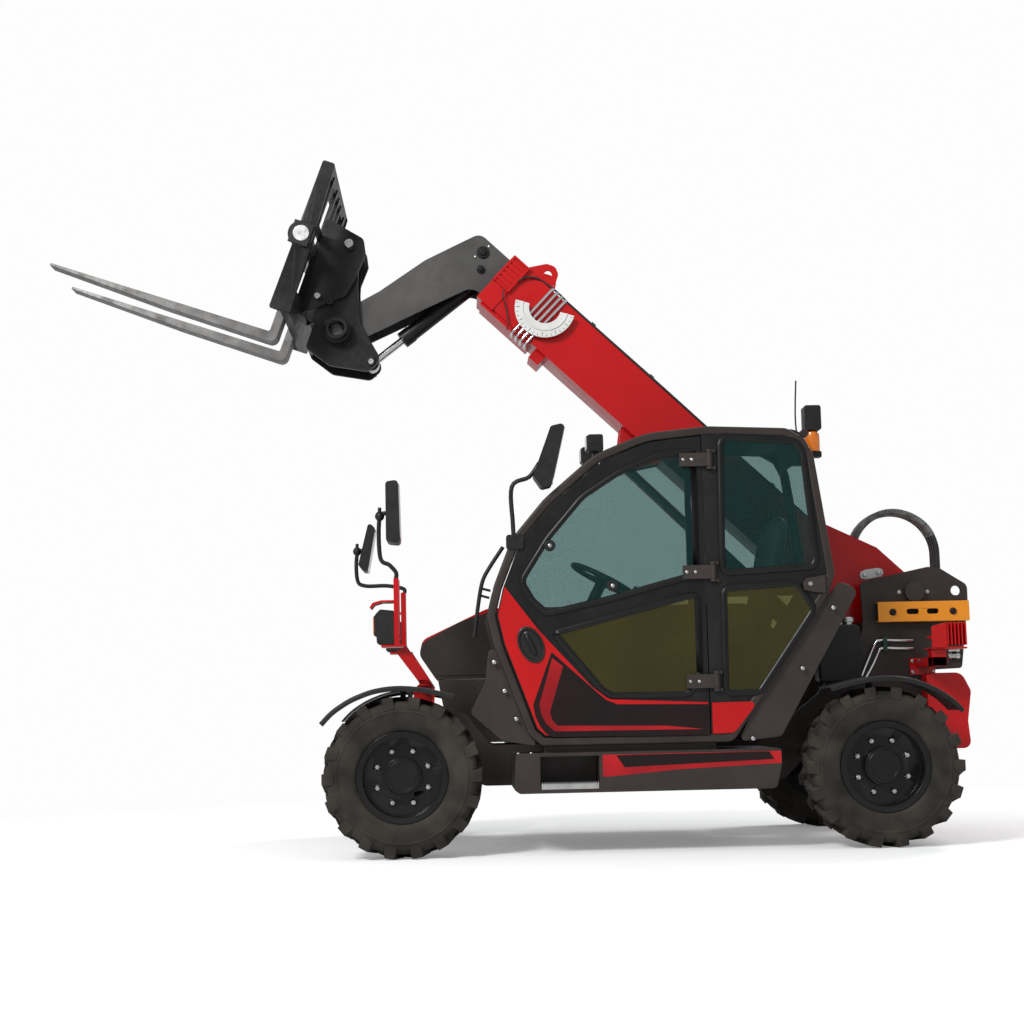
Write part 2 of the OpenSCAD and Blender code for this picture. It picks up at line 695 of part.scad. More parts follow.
fork_eye_d = 112;
module forks() {
    color("#7c7d80") in_carriage() both_sides() translate([0, -fork_gap / 2, 0]) difference() {
        union() {
            across(-fork_w / 2, fork_w / 2) polygon(rounded([
                [shank_back, fork_low, fork_t * 0.8], [shank_back, shaft_z, fold], [shank_back - fork_t, shaft_z, fold],
                [shank_back - fork_t, fork_low + fork_t * 1.1, 12], [shank_back - fork_t - fork_len, fork_low + tip_t + tip_rise, 4],
                [shank_back - fork_t - fork_len, fork_low + tip_rise, 4], [shank_back - fork_len / 2, fork_low, 200]]));
            translate([shaft_x, 0, shaft_z]) bar_y(fork_eye_d, -fork_w / 2, fork_w / 2);
        }
        translate([shaft_x, 0, shaft_z]) bar_y(shaft_d + 2 * run_gap, -fork_w, fork_w);
    }
}

// Cab
function cab_corners() = [
    [722, cab_low, 70], [545, 905, 300], [458, 1245, 110], [590, 1580, 500], [1045, cab_top - 105, 420],
    [1480, cab_top, 500], [2165, cab_top, 95], [2288, 1430, 90], [1738, cab_low + 30, 90], [1690, cab_low, 40]];
module cab_ring(d0, d1) {
    difference() {
        polygon(rounded(inset(cab_corners(), d0), 8));
        polygon(rounded(inset(cab_corners(), d1), 8));
    }
}
module window_box(x0, z0, x1, z1) { translate([x0, z0]) square([x1 - x0, z1 - z0]); }

pillar_w = 80;
screen_low = 960;
screen_top_x = 1080;
roof_front_x = 1060;
roof_rear_x = 2150;
roof_t = 40;
rear_low = 1460;
sheet = 8;
cab_in = cab_left - cab_tube;
cab_side_in = cab_right + cab_tube;
quarter_sill = 1320;
panel_top = 800;

module cab_frame() {
    color("#3a3330") in_machine() {
        across(-cab_left, -cab_in) cab_ring(0, cab_tube);
        across(-cab_side_in, -cab_right) cab_ring(0, cab_tube);
        for (y = [-cab_left, -cab_side_in]) across(y, y + cab_tube) intersection() {
            polygon(rounded(inset(cab_corners(), cab_tube / 2), 8));
            union() {
                window_box(door_rear + free_gap, cab_low, door_rear + free_gap + pillar_w, cab_top);
                window_box(door_rear + free_gap, quarter_sill, tower_x, quarter_sill + pillar_w);
            }
        }
        across(-cab_in, -cab_side_in) intersection() {
            cab_ring(0, cab_tube - free_gap);
            union() {
                window_box(roof_front_x - cab_tube, cab_top - cab_tube * 5, roof_front_x + cab_tube, cab_top);
                window_box(roof_rear_x, cab_top - cab_tube * 3, tower_x, cab_top);
                window_box(roof_rear_x, rear_low - cab_tube * 2, tower_x, rear_low);
                window_box(0, screen_low - cab_tube, door_rear, screen_low);
            }
        }
    }
}
module cab_floor() {
    color("#2c2a29") in_machine() across(-cab_in, -cab_side_in) intersection() {
        cab_ring(0, cab_tube - sheet);
        union() {
            window_box(0, 0, door_rear, screen_low - cab_tube);
            window_box(door_rear, 0, tower_x, rear_low - cab_tube * 2);
        }
    }
    color("#2c2a29") in_machine() across(-cab_side_in - sheet, -cab_side_in) intersection() {
        polygon(rounded(inset(cab_corners(), cab_tube - free_gap), 8));
        window_box(0, 0, tower_x, screen_low);
    }
}
module cab_panel() {
    color("#c8141c") in_machine() across(sheet - cab_left, 2 * sheet - cab_left) intersection() {
        polygon(rounded(inset(cab_corners(), cab_tube), 8));
        window_box(door_rear + free_gap + pillar_w, 0, tower_x, panel_top + pillar_w);
    }
}
module cab_roof() {
    color("#2f2b29") in_machine() across(-cab_in, -cab_side_in) intersection() {
        cab_ring(0, roof_t);
        window_box(roof_front_x + cab_tube, rear_low, roof_rear_x, tower_x);
    }
}
module cab_glass() {
    color([0.35, 0.55, 0.55, 0.5]) in_machine() {
        across(-cab_in, -cab_side_in) intersection() {
            cab_ring(sheet, sheet + glass_t);
            union() {
                window_box(0, screen_low, roof_front_x - cab_tube, tower_x);
                window_box(roof_rear_x - cab_tube, rear_low, tower_x, cab_top - cab_tube * 3);
            }
        }
        across(-cab_in, glass_t - cab_in) intersection() {
            polygon(rounded(inset(cab_corners(), cab_tube - free_gap), 8));
            union() {
                window_box(door_rear + free_gap + pillar_w / 2, quarter_sill + pillar_w / 2, tower_x, tower_x);
                window_box(door_rear + free_gap + pillar_w / 2, panel_top + pillar_w / 2, tower_x, quarter_sill + pillar_w / 4);
            }
        }
        across(-cab_side_in - glass_t, -cab_side_in) intersection() {
            polygon(rounded(inset(cab_corners(), cab_tube - free_gap), 8));
            window_box(0, screen_low, tower_x, tower_x);
        }
    }
}

// Door, hung on the rear pillar
hinge_pin_d = 16;
hinge_x = door_rear + free_gap + pillar_w * 0.45;
hinge_y = cab_left + hinge_pin_d + seat_gap;
hinge_zs = [720, 1340, 2010];
hinge_h = 90;
strap_t = 8;
door_rail = 62;
rail_rise = 0.19;
rail_z = 1165;

module door_outline(d) {
    intersection() {
        polygon(rounded(inset(cab_corners(), cab_tube + free_gap + d), 8));
        window_box(0, 0, door_rear - d, tower_x);
    }
}
module door_slope(z0, z1) { polygon([[0, z0], [door_rear, z0 + door_rear * rail_rise], [door_rear, z1 + door_rear * rail_rise], [0, z1]]); }
module door_window_low(d) {
    intersection() {
        door_outline(door_rail - d);
        window_box(0, panel_top - d, door_rear, tower_x);
        door_slope(-tower_x, rail_z - door_rear * rail_rise * 0.32 + d);
    }
}
module door_window_high(d) {
    intersection() {
        door_outline(door_rail - d);
        door_slope(rail_z - door_rear * rail_rise * 0.32 + door_rail - d, tower_x);
    }
}
door_y = cab_left - door_t;
module door_frame() {
    color("#2a2625") in_machine() difference() {
        union() {
            across(-cab_left, -door_y) difference() {
                door_outline(0);
                door_window_low(0);
                door_window_high(0);
            }
            for (z = hinge_zs) translate([0, 0, z]) {
                box(door_rear - pillar_w, door_rear, -hinge_y - strap_t, -cab_left, hinge_h * 0.1, hinge_h * 0.9);
                box(door_rear - pillar_w, hinge_x, -hinge_y - strap_t, -hinge_y + strap_t, hinge_h * 0.1, hinge_h * 0.9);
                translate([hinge_x, -hinge_y, hinge_h * 0.1]) cylinder(d = 2 * hinge_pin_d, h = hinge_h * 0.8);
            }
        }
        for (z = hinge_zs) translate([hinge_x, -hinge_y, z - cut])
            cylinder(d = hinge_pin_d + 2 * run_gap, h = hinge_h + 2 * cut);
    }
}
module door_hinges() {
    color("#3a3330") in_machine() for (z = hinge_zs) translate([hinge_x, 0, z]) {
        translate([0, -hinge_y, -hinge_h * 0.1]) cylinder(d = hinge_pin_d, h = hinge_h * 1.2);
        for (s = [-hinge_h * 0.1, hinge_h * 0.92]) {
            translate([0, -hinge_y, s]) cylinder(d = 2 * hinge_pin_d, h = hinge_h * 0.18);
            box(-hinge_pin_d, pillar_w * 0.4, -hinge_y, -cab_left, s, s + hinge_h * 0.18);
        }
    }
}
module door_glass() {
    color([0.35, 0.55, 0.55, 0.5]) in_machine() across(-door_y, glass_t - door_y) {
        door_window_low(20);
        door_window_high(20);
    }
}

// Seat and controls
seat_x = 1720;
seat_z = 1130;
seat_w = 480;
cab_mid = -(cab_left + cab_right) / 2;
module seat() {
    color("#242628") in_machine() translate([0, cab_mid, 0]) {
        box(seat_x - 250, seat_x + 230, -seat_w / 2, seat_w / 2, seat_z - 110, seat_z);
        across(-seat_w / 2 + 20, seat_w / 2 - 20)
            polygon(rounded([[seat_x + 150, seat_z, 10], [seat_x + 290, seat_z + 640, 40], [seat_x + 370, seat_z + 620, 30],
                             [seat_x + 260, seat_z - 10, 10]]));
        across(-seat_w / 3, seat_w / 3)
            polygon([[seat_x - 200, cab_low + cab_tube - sheet], [seat_x - 180, seat_z - 110], [seat_x + 160, seat_z - 110],
                     [seat_x - 60, cab_low + cab_tube - sheet]]);
    }
}
dash_x = 880;
column_foot = [dash_x + 60, 1150];
column_tilt = 28;
column_len = 330;
column_d = 60;
wheel_ring_d = 360;
wheel_tube_d = 30;
module dash() {
    color("#262625") in_machine() translate([0, cab_mid, 0]) difference() {
        across(-seat_w / 2, seat_w / 2)
            polygon(rounded([[dash_x - 40, cab_low + cab_tube - sheet, 5], [dash_x - 90, 1180, 40], [dash_x + 40, 1230, 40],
                             [dash_x + 140, 1160, 40], [dash_x + 120, cab_low + cab_tube - sheet, 5]]));
        translate([column_foot[0], 0, column_foot[1]]) rotate([0, column_tilt, 0])
            cylinder(d = column_d + 2 * run_gap, h = column_len);
    }
}
module steering_wheel() {
    color("#1b1b1b") in_machine() translate([column_foot[0], cab_mid, column_foot[1]]) rotate([0, column_tilt, 0]) {
        cylinder(d = column_d, h = column_len);
        translate([0, 0, column_len]) {
            rotate_extrude() translate([wheel_ring_d / 2, 0]) circle(d = wheel_tube_d);
            for (a = [0, 120, 240]) rotate([0, 0, a]) translate([0, -15, -6]) cube([wheel_ring_d / 2, 30, 12]);
            cylinder(d = 90, h = 30, center = true);
            translate([wheel_ring_d / 2, 0, 0]) cylinder(d = 26, h = 50);
        }
    }
}

// Left skirt with its step
skirt_front = 575;
skirt_rear = 1966;
skirt_low = 317;
skirt_top = 523;
skirt_out = 945;
step_x0 = 712;
step_x1 = 1016;
step_z0 = 336;
step_z1 = 504;
step_deep = 210;
module side_skirt() {
    color("#3a3330") in_machine() {
        difference() {
            across(-skirt_out, -frame_w / 2) polygon(rounded([
                [skirt_front, skirt_low + 20, 20], [skirt_front + 12, skirt_top, 20], [skirt_rear, skirt_top, 20],
                [skirt_rear, skirt_top - 80, 20], [skirt_rear - 30, skirt_low, 30], [skirt_front + 30, skirt_low, 20]]));
            box(step_x0, step_x1, -skirt_out - cut, -skirt_out + step_deep, step_z0, step_z1);
        }
        box(skirt_front + 160, skirt_rear - 330, -cab_left + cab_tube, -frame_w / 2 - free_gap, skirt_top - cut, cab_low);
    }
}
tread_t = 6;
module step_tread() {
    color("#b9bcbe") in_machine()
        box(step_x0 + 4, step_x1 - 4, -skirt_out, -skirt_out + step_deep - 4, step_z0, step_z0 + tread_t);
}

// Engine bay and hood on the right
bay_front = 575;
bay_rear = 1960;
bay_low = 400;
bay_in = 190;
bay_wall = 16;
hood_hinge_d = 16;
engine_len = 720;
engine_w = 420;
engine_h = 560;
hood_nose = 1168;
hood_hinge_x = hood_rear - 40;
hood_hinge_z = hood_low - hood_hinge_d - free_gap;
hood_hinge_ys = [260, 820];
hinge_arm_w = 40;
hinge_ear_w = 14;
module engine_bay() {
    color("#2f2b29") in_machine() {
        difference() {
            union() {
                box(bay_front, bay_rear, frame_w / 2, hood_out, bay_low, hood_low - seat_gap);
                box(bay_front, bay_rear, bay_in, frame_w / 2 + bay_wall, sill_z, hood_low - seat_gap);
            }
            box(bay_front + bay_wall, bay_rear - bay_wall, frame_w / 2 + bay_wall, hood_out - bay_wall, bay_low + bay_wall,
                hood_low + cut);
            box(bay_front + bay_wall, bay_rear - bay_wall, bay_in + bay_wall, frame_w / 2 + 2 * bay_wall, sill_z + bay_wall,
                hood_low + cut);
        }
        for (y = hood_hinge_ys) difference() {
            union() {
                box(bay_rear - cut, hood_hinge_x, y, y + hinge_arm_w, hood_hinge_z - hood_hinge_d, hood_hinge_z);
                translate([hood_hinge_x, 0, hood_hinge_z]) bar_y(2 * hood_hinge_d, y, y + hinge_arm_w);
            }
            translate([hood_hinge_x, 0, hood_hinge_z])
                bar_y(hood_hinge_d + 2 * run_gap, y - cut, y + hinge_arm_w + cut);
        }
    }
}
module engine() {
    color("#4d5358") in_machine()
        box(1180, 1180 + engine_len, frame_w / 2 + bay_wall, frame_w / 2 + bay_wall + engine_w, bay_low + bay_wall,
            bay_low + bay_wall + engine_h);
}
function hood_corners() = [
    [hood_front + 95, hood_low, 30], [hood_front, hood_nose - 90, 60], [hood_front + 20, hood_nose, 60],
    [475, hood_top, 120], [hood_rear - 160, hood_top, 160], [hood_rear, hood_top - 190, 80], [hood_rear - 20, hood_low, 20]];
module hood() {
    color("#c8141c") in_machine() {
        across(bay_in, bay_in + hood_wall) polygon(rounded(hood_corners()));
        across(hood_out - hood_wall, hood_out) polygon(rounded(hood_corners()));
        across(bay_in + hood_wall / 2, hood_out - hood_wall / 2) difference() {
            polygon(rounded(hood_corners()));
            polygon(rounded(inset(hood_corners(), hood_wall)));
            window_box(bay_front + bay_wall, 0, bay_rear - bay_wall, hood_low + hood_wall + cut);
        }
        for (y = hood_hinge_ys) translate([hood_hinge_x, 0, hood_hinge_z]) {
            bar_y(hood_hinge_d, y - hinge_ear_w - free_gap, y + hinge_arm_w + hinge_ear_w + free_gap);
            for (e = [y - hinge_ear_w - free_gap, y + hinge_arm_w + free_gap]) {
                bar_y(2 * hood_hinge_d, e, e + hinge_ear_w);
                box(-hood_hinge_d, hood_hinge_d, e, e + hinge_ear_w, 0, hood_hinge_d + 2 * free_gap);
            }
        }
    }
}

// Lamps, mirrors and fittings
lamp_y = 560;
lamp_x = -104;
lamp_z = 1215;
lamp_w = 150;
lamp_h = 130;
post_d = 32;
mirror_h = 330;
mirror_w = 200;
module front_lamps() {
    color("#c8141c") in_machine() both_sides() {
        across(-frame_w / 2 - 60, -frame_w / 2) polygon([[30, nose_top - 200], [40, 925], [100, 925], [140, nose_top - 200]]);
        across(-lamp_y - 30, -frame_w / 2 - 30) polygon([[40, 895], [lamp_x + 40, 1150], [lamp_x + 90, 1160], [100, 925], [100, 895]]);
        box(lamp_x, lamp_x + 110, -lamp_y - lamp_w / 2, -lamp_y + lamp_w / 2, lamp_z - lamp_h / 2, lamp_z + lamp_h / 2);
    }
}
module mirrors() {
    color("#1c1c1c") in_machine() {
        both_sides() {
            translate([lamp_x + 60, -lamp_y, lamp_z + lamp_h / 2]) cylinder(d = post_d, h = 420);
            box(lamp_x + 30, lamp_x + 80, -lamp_y - mirror_w, -lamp_y + post_d / 2, lamp_z + lamp_h / 2 + 380,
                lamp_z + lamp_h / 2 + 380 + mirror_h);
        }
    }
}

module safety_prop() {
    prop_x0 = 2650;
    prop_x1 = 3166;
    prop_low = 1192;
    prop_high = 1304;
    prop_deep = 60;
    prop_wall = 8;
    color("#f5a20b") in_machine() across(-frame_w / 2 - prop_deep, -frame_w / 2) difference() {
        window_box(prop_x0, prop_low, prop_x1, prop_high);
        window_box(prop_x0 + prop_wall, prop_low + prop_wall, prop_x1 - prop_wall, prop_high - prop_wall);
    }
}

hose_d = 38;
hose_r = 245;
hose_mid = [2838, 1600];
module hose_loop() {
    color("#232323") in_machine() for (i = [-1:1]) translate([hose_mid[0], i * hose_d * 1.1, hose_mid[1]]) {
        rotate([90, 0, 0]) rotate_extrude(angle = 180) translate([hose_r, 0]) circle(d = hose_d);
        translate([hose_r, 0, shelf_z + seat_gap - hose_mid[1]]) cylinder(d = hose_d, h = hose_mid[1] - shelf_z);
    }
}

chassis_frame();
counterweight();
axle_beam(0);  // axle_front
axle_beam(1);  // axle_rear
engine_bay();
engine();
side_skirt();
step_tread();
cab_frame();
cab_floor();
cab_panel();
cab_roof();
cab_glass();
seat();
dash();
steering_wheel();
front_lamps();
mirrors();
safety_prop();
hose_loop();
door_hinges();
door_frame();
door_glass();
hood();
boom_outer();
boom_inner();
coupler();
carriage();
fork_shaft();
forks();
lift_barrel();
lift_rod();
tilt_barrel();
tilt_rod();
knuckle(0, -1);  // knuckle_front_left
knuckle(0, 1);  // knuckle_front_right
knuckle(1, -1);  // knuckle_rear_left
knuckle(1, 1);  // knuckle_rear_right
fender(0, -1);  // fender_front_left
fender(0, 1);  // fender_front_right
fender(1, -1);  // fender_rear_left
fender(1, 1);  // fender_rear_right
rim(0, -1);  // rim_front_left
rim(0, 1);  // rim_front_right
rim(1, -1);  // rim_rear_left
rim(1, 1);  // rim_rear_right
tyre(0, -1);  // tyre_front_left
tyre(0, 1);  // tyre_front_right
tyre(1, -1);  // tyre_rear_left
tyre(1, 1);  // tyre_rear_right
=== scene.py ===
import json
import math
import bpy
import bmesh
from mathutils import Matrix, Vector


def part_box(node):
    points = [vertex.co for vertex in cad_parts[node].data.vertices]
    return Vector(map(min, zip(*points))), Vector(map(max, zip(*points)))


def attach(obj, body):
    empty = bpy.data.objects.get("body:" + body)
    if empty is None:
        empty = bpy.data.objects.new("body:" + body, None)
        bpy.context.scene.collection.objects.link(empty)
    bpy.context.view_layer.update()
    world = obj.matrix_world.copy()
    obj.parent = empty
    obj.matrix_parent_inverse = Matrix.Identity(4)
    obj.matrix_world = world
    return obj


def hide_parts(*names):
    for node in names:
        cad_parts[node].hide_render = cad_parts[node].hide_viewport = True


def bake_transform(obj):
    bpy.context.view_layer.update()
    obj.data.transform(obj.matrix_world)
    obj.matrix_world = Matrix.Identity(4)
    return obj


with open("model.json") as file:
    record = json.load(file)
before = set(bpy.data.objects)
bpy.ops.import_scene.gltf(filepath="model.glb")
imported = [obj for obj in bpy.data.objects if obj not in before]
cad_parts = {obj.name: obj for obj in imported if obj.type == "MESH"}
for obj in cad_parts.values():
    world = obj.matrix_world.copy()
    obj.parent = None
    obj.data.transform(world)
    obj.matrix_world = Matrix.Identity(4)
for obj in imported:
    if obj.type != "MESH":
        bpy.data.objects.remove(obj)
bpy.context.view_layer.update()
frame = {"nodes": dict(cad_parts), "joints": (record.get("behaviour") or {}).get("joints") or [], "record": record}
scene = bpy.context.scene
nodes = frame["nodes"]
bodyOf = {n: b for b, members in frame["record"]["behaviour"]["bodies"].items() for n in members}
slotOf = {s["node"]: s["material_slot"] for s in frame["record"]["subparts"]}
print("frame loaded:", len(nodes), "nodes")

# camera, fitted to both wheels, the cab and the boom in the photo
camera = {"place": (-0.29337, -9.7638, 0.7467), "yaw": 0.03238, "pitch": 0.11648, "roll": 0.021846,
          "lens": 59.56}


def makeCamera(place, yaw, pitch, roll, lens):
    ahead = Vector((math.sin(yaw) * math.cos(pitch), math.cos(yaw) * math.cos(pitch), math.sin(pitch)))
    right = Vector((math.cos(yaw), -math.sin(yaw), 0))
    up = right.cross(ahead)
    cr, sr = math.cos(roll), math.sin(roll)
    right, up = cr * right - sr * up, sr * right + cr * up
    data = bpy.data.cameras.new("camera")
    data.lens = lens
    data.sensor_width = 36
    data.clip_end = 200
    cam = bpy.data.objects.new("camera", data)
    cam.matrix_world = Matrix.Translation(place) @ Matrix((right, up, -ahead)).transposed().to_4x4()
    scene.collection.objects.link(cam)
    scene.camera = cam


makeCamera(**camera)

# places: millimetres from the front axle on the ground, and along the boom from its pivot
mm = 0.001
forkAngle = math.radians(19.5)
bothSides = (-1, 1)


def joint(name):
    return next(j for j in frame["joints"] if j["name"] == name)


def middle(node):
    lo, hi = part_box(node)
    return (lo + hi) / 2


def across(y):
    return Vector((0, y * mm, 0))


leftward = Vector((0, -1, 0))
rearward = Vector((1, 0, 0))
upward = Vector((0, 0, 1))
axleX = middle("rim_front_left").x
pivot = Vector(joint("boom_lift")["pos_m"])
headAt = Vector(joint("carriage_tilt")["pos_m"])
boomAhead = Vector(joint("boom_extend")["axis"])
boomUp = Vector((boomAhead.z, 0, -boomAhead.x))
forkAhead = Vector((-math.cos(forkAngle), 0, math.sin(forkAngle)))
forkUp = Vector((math.sin(forkAngle), 0, math.cos(forkAngle)))


def at(x, y, z):
    return Vector((axleX + x * mm, y * mm, z * mm))


def onBoom(u, y, n):
    return pivot + boomAhead * u * mm + boomUp * n * mm + across(y)


def turns(count, shift=0):
    return [2 * math.pi * (i + shift) / count for i in range(count)]


# shader helpers
def plug(tree, n, inputs):
    for key, value in inputs.items():
        if isinstance(value, bpy.types.NodeSocket):
            tree.links.new(value, n.inputs[key])
        else:
            n.inputs[key].default_value = value


def node(tree, kind, inputs, **settings):
    n = tree.nodes.new("ShaderNode" + kind)
    for key, value in settings.items():
        setattr(n, key, value)
    plug(tree, n, inputs)
    return n


def noise(tree, where, scale, detail=4):
    return node(tree, "TexNoise", {"Scale": scale, "Detail": detail, "Vector": where}).outputs["Fac"]


def remap(tree, value, lo, hi, outLo, outHi):
    return node(tree, "MapRange", {0: value, 1: lo, 2: hi, 3: outLo, 4: outHi}).outputs[0]


def times(tree, a, b):
    return node(tree, "Math", {0: a, 1: b}, operation="MULTIPLY").outputs[0]


def blendColour(tree, share, a, b):
    colours = {i: (*v, 1) if isinstance(v, tuple) else v for i, v in ((6, a), (7, b))}
    return node(tree, "Mix", {0: share, **colours}, data_type="RGBA").outputs[2]


def mixShader(tree, share, a, b):
    return node(tree, "MixShader", {0: share, 1: a.outputs[0], 2: b.outputs[0]})


# studio: pale floor that fades into white surroundings, one broad key lamp and a weak rim lamp
studio = {"floor": (0.9, 0.9, 0.9), "floorSize": 40, "fade": (3.6, 6.5), "lift": 0.2, "fill": 0.55,
          "white": 0.985,
          "lookAt": (0, 0, 1.3), "lamps": [("keyLamp", (-5.5, -8.5, 8.0), 3.2, 1050),
                                           ("rimLamp", (6.0, 5.0, 6.5), 3.0, 300)]}


def makeWorld(s):
    world = bpy.data.worlds.new("surroundings")
    scene.world = world
    world.use_nodes = True
    tree = world.node_tree
    tree.nodes.clear()
    fill = node(tree, "Background", {"Color": (0.96, 0.98, 1, 1), "Strength": s["fill"]})
    white = node(tree, "Background", {"Color": (s["white"], s["white"], s["white"], 1)})
    path = node(tree, "LightPath", {}).outputs
    seen = node(tree, "Math", {0: path["Is Camera Ray"], 1: path["Is Transmission Ray"]},
                operation="MAXIMUM")
    node(tree, "OutputWorld", {0: mixShader(tree, seen.outputs[0], fill, white).outputs[0]})


def makeFloor(s):
    mesh = bpy.data.meshes.new("floor")
    h = s["floorSize"]
    mesh.from_pydata([(-h, -h, 0), (h, -h, 0), (h, h, 0), (-h, h, 0)], [], [(0, 1, 2, 3)])
    floor = bpy.data.objects.new("floor", mesh)
    scene.collection.objects.link(floor)
    mat = bpy.data.materials.new("floorPaint")
    mat.use_nodes = True
    tree = mat.node_tree
    tree.nodes.clear()
    paint = node(tree, "BsdfDiffuse", {"Color": (*s["floor"], 1)})
    seen = node(tree, "LightPath", {}).outputs["Is Camera Ray"]
    glow = node(tree, "Emission", {"Strength": times(tree, seen, s["lift"])})
    both = node(tree, "AddShader", {0: paint.outputs[0], 1: glow.outputs[0]})
    place = node(tree, "NewGeometry", {}).outputs["Position"]
    away = node(tree, "VectorMath", {0: place}, operation="LENGTH").outputs["Value"]
    clear = node(tree, "BsdfTransparent", {})
    mix = mixShader(tree, remap(tree, away, *s["fade"], 0, 1), both, clear)
    node(tree, "OutputMaterial", {0: mix.outputs[0]})
    mesh.materials.append(mat)


def makeLamp(name, place, size, power):
    data = bpy.data.lights.new(name, "AREA")
    data.shape = "DISK"
    data.size = size
    data.energy = power
    obj = bpy.data.objects.new(name, data)
    obj.location = place
    obj.rotation_mode = "QUATERNION"
    obj.rotation_quaternion = (Vector(studio["lookAt"]) - Vector(place)).to_track_quat("-Z", "Y")
    scene.collection.objects.link(obj)


makeWorld(studio)
makeFloor(studio)
for row in studio["lamps"]:
    makeLamp(*row)
scene.view_settings.view_transform = "Standard"
print("studio made")

# finishes: slot, base and second colour, cloud scale, roughness, then bump with its scale, dust, wear
dustColour = (0.2, 0.17, 0.135)
wornColour = (0.32, 0.31, 0.3)
finishes = {
    "redPaint": ("red_paint", (0.5, 0.002, 0.003), (0.44, 0.0015, 0.0025), 3, (0.24, 0.34),
                 dict(bump=(0.012, 420), coat=0.22, dust=0.03, gloss=0.25)),
    "darkPaint": ("dark_paint", (0.026, 0.019, 0.016), (0.034, 0.026, 0.022), 6, (0.42, 0.56),
                  dict(bump=(0.06, 700), dust=0.07, wear=0.1, gloss=0.3)),
    "blackPaint": ("black_paint", (0.006, 0.006, 0.0065), (0.01, 0.01, 0.0105), 7, (0.3, 0.44),
                   dict(bump=(0.04, 420), dust=0.03, wear=0.1, gloss=0.25)),
    "rimPaint": ("black_paint", (0.004, 0.004, 0.0045), (0.006, 0.006, 0.0065), 7, (0.2, 0.3),
                 dict(bump=(0.02, 420), coat=0.1, dust=0.03, gloss=0.25)),
    "neckSteel": ("steel", (0.075, 0.072, 0.069), (0.05, 0.048, 0.046), 5, (0.34, 0.52),
                  dict(bump=(0.05, 330), dust=0.04, wear=0.2, metal=0.35)),
    "forkSteel": ("steel", (0.16, 0.155, 0.15), (0.08, 0.076, 0.072), 9, (0.32, 0.52),
                  dict(bump=(0.07, 260), wear=0.3, metal=0.7)),
    "chrome": ("chrome", (0.75, 0.75, 0.76), (0.66, 0.66, 0.67), 4, (0.08, 0.18),
               dict(bump=(0.01, 200), metal=1)),
    "zincSteel": ("steel", (0.56, 0.56, 0.55), (0.42, 0.42, 0.41), 14, (0.26, 0.42),
                  dict(bump=(0.03, 500), metal=1)),
    "castIron": ("cast_iron", (0.09, 0.1, 0.105), (0.065, 0.07, 0.075), 11, (0.5, 0.7),
                 dict(bump=(0.2, 260), metal=0.4)),
    "yellowPaint": ("yellow_paint", (0.86, 0.3, 0.004), (0.78, 0.26, 0.003), 5, (0.28, 0.42),
                    dict(bump=(0.02, 420), coat=0.3, dust=0.05, wear=0.1)),
    "whitePaint": ("white_paint", (0.72, 0.72, 0.7), (0.64, 0.64, 0.62), 8, (0.35, 0.5),
                   dict(bump=(0.03, 420), dust=0.1)),
    "clampGreen": ("black_plastic", (0.012, 0.06, 0.04), (0.009, 0.045, 0.03), 10, (0.4, 0.55),
                   dict(bump=(0.05, 500))),
    "tyreRubber": ("tyre", (0.015, 0.0137, 0.012), (0.023, 0.0205, 0.0175), 10, (0.72, 0.92),
                   dict(bump=(0.25, 420), dust=0.12, grime=0.14, gloss=0.2)),
    "hoseRubber": ("hose_rubber", (0.012, 0.012, 0.012), (0.02, 0.02, 0.02), 18, (0.4, 0.56),
                   dict(bump=(0.1, 700))),
    "greySleeve": ("hose_rubber", (0.16, 0.16, 0.155), (0.05, 0.05, 0.048), 30, (0.34, 0.5),
                   dict(bump=(0.15, 500))),
    "blackPlastic": ("black_plastic", (0.009, 0.009, 0.009), (0.014, 0.0135, 0.013), 9, (0.36, 0.52),
                     dict(bump=(0.07, 900), dust=0.06, gloss=0.3)),
    "glassBorder": ("black_plastic", (0.006, 0.006, 0.006), (0.009, 0.009, 0.009), 5, (0.3, 0.4),
                    dict(bump=(0.01, 300), gloss=0.25)),
    "seatCover": ("fabric", (0.022, 0.024, 0.025), (0.034, 0.036, 0.037), 60, (0.5, 0.7),
                  dict(bump=(0.25, 900))),
    "stripeDark": ("dark_paint", (0.006, 0.004, 0.004), (0.014, 0.003, 0.003), 2, (0.3, 0.4),
                   dict(bump=(0.01, 400), gloss=0.25)),
    "stripeRed": ("red_paint", (0.46, 0.01, 0.014), (0.2, 0.003, 0.006), 2.4, (0.3, 0.4),
                  dict(bump=(0.01, 400), gloss=0.25)),
    "upperGlass": ("glass", (0.035, 0.12, 0.11), (0.03, 0.1, 0.095), 2, (0.02, 0.04),
                   dict(alpha=0.14, tint=(0.68, 0.755, 0.75))),
    "lowerGlass": ("glass", (0.085, 0.075, 0.022), (0.07, 0.064, 0.02), 3, (0.03, 0.06),
                   dict(alpha=0.4, tint=(0.66, 0.63, 0.4))),
    "clearLens": ("glass", (0.7, 0.72, 0.74), (0.6, 0.62, 0.64), 20, (0.05, 0.12),
                  dict(bump=(0.1, 160), coat=0.5)),
    "amberLens": ("glass", (0.75, 0.2, 0.008), (0.62, 0.15, 0.006), 20, (0.1, 0.18),
                  dict(bump=(0.1, 160), coat=0.5)),
    "redLens": ("glass", (0.4, 0.006, 0.006), (0.3, 0.004, 0.004), 20, (0.1, 0.18),
                dict(bump=(0.1, 160), coat=0.5)),
    "mirrorSilver": ("chrome", (0.86, 0.87, 0.88), (0.84, 0.85, 0.86), 3, (0.02, 0.04), dict(metal=1)),
}
made = {}


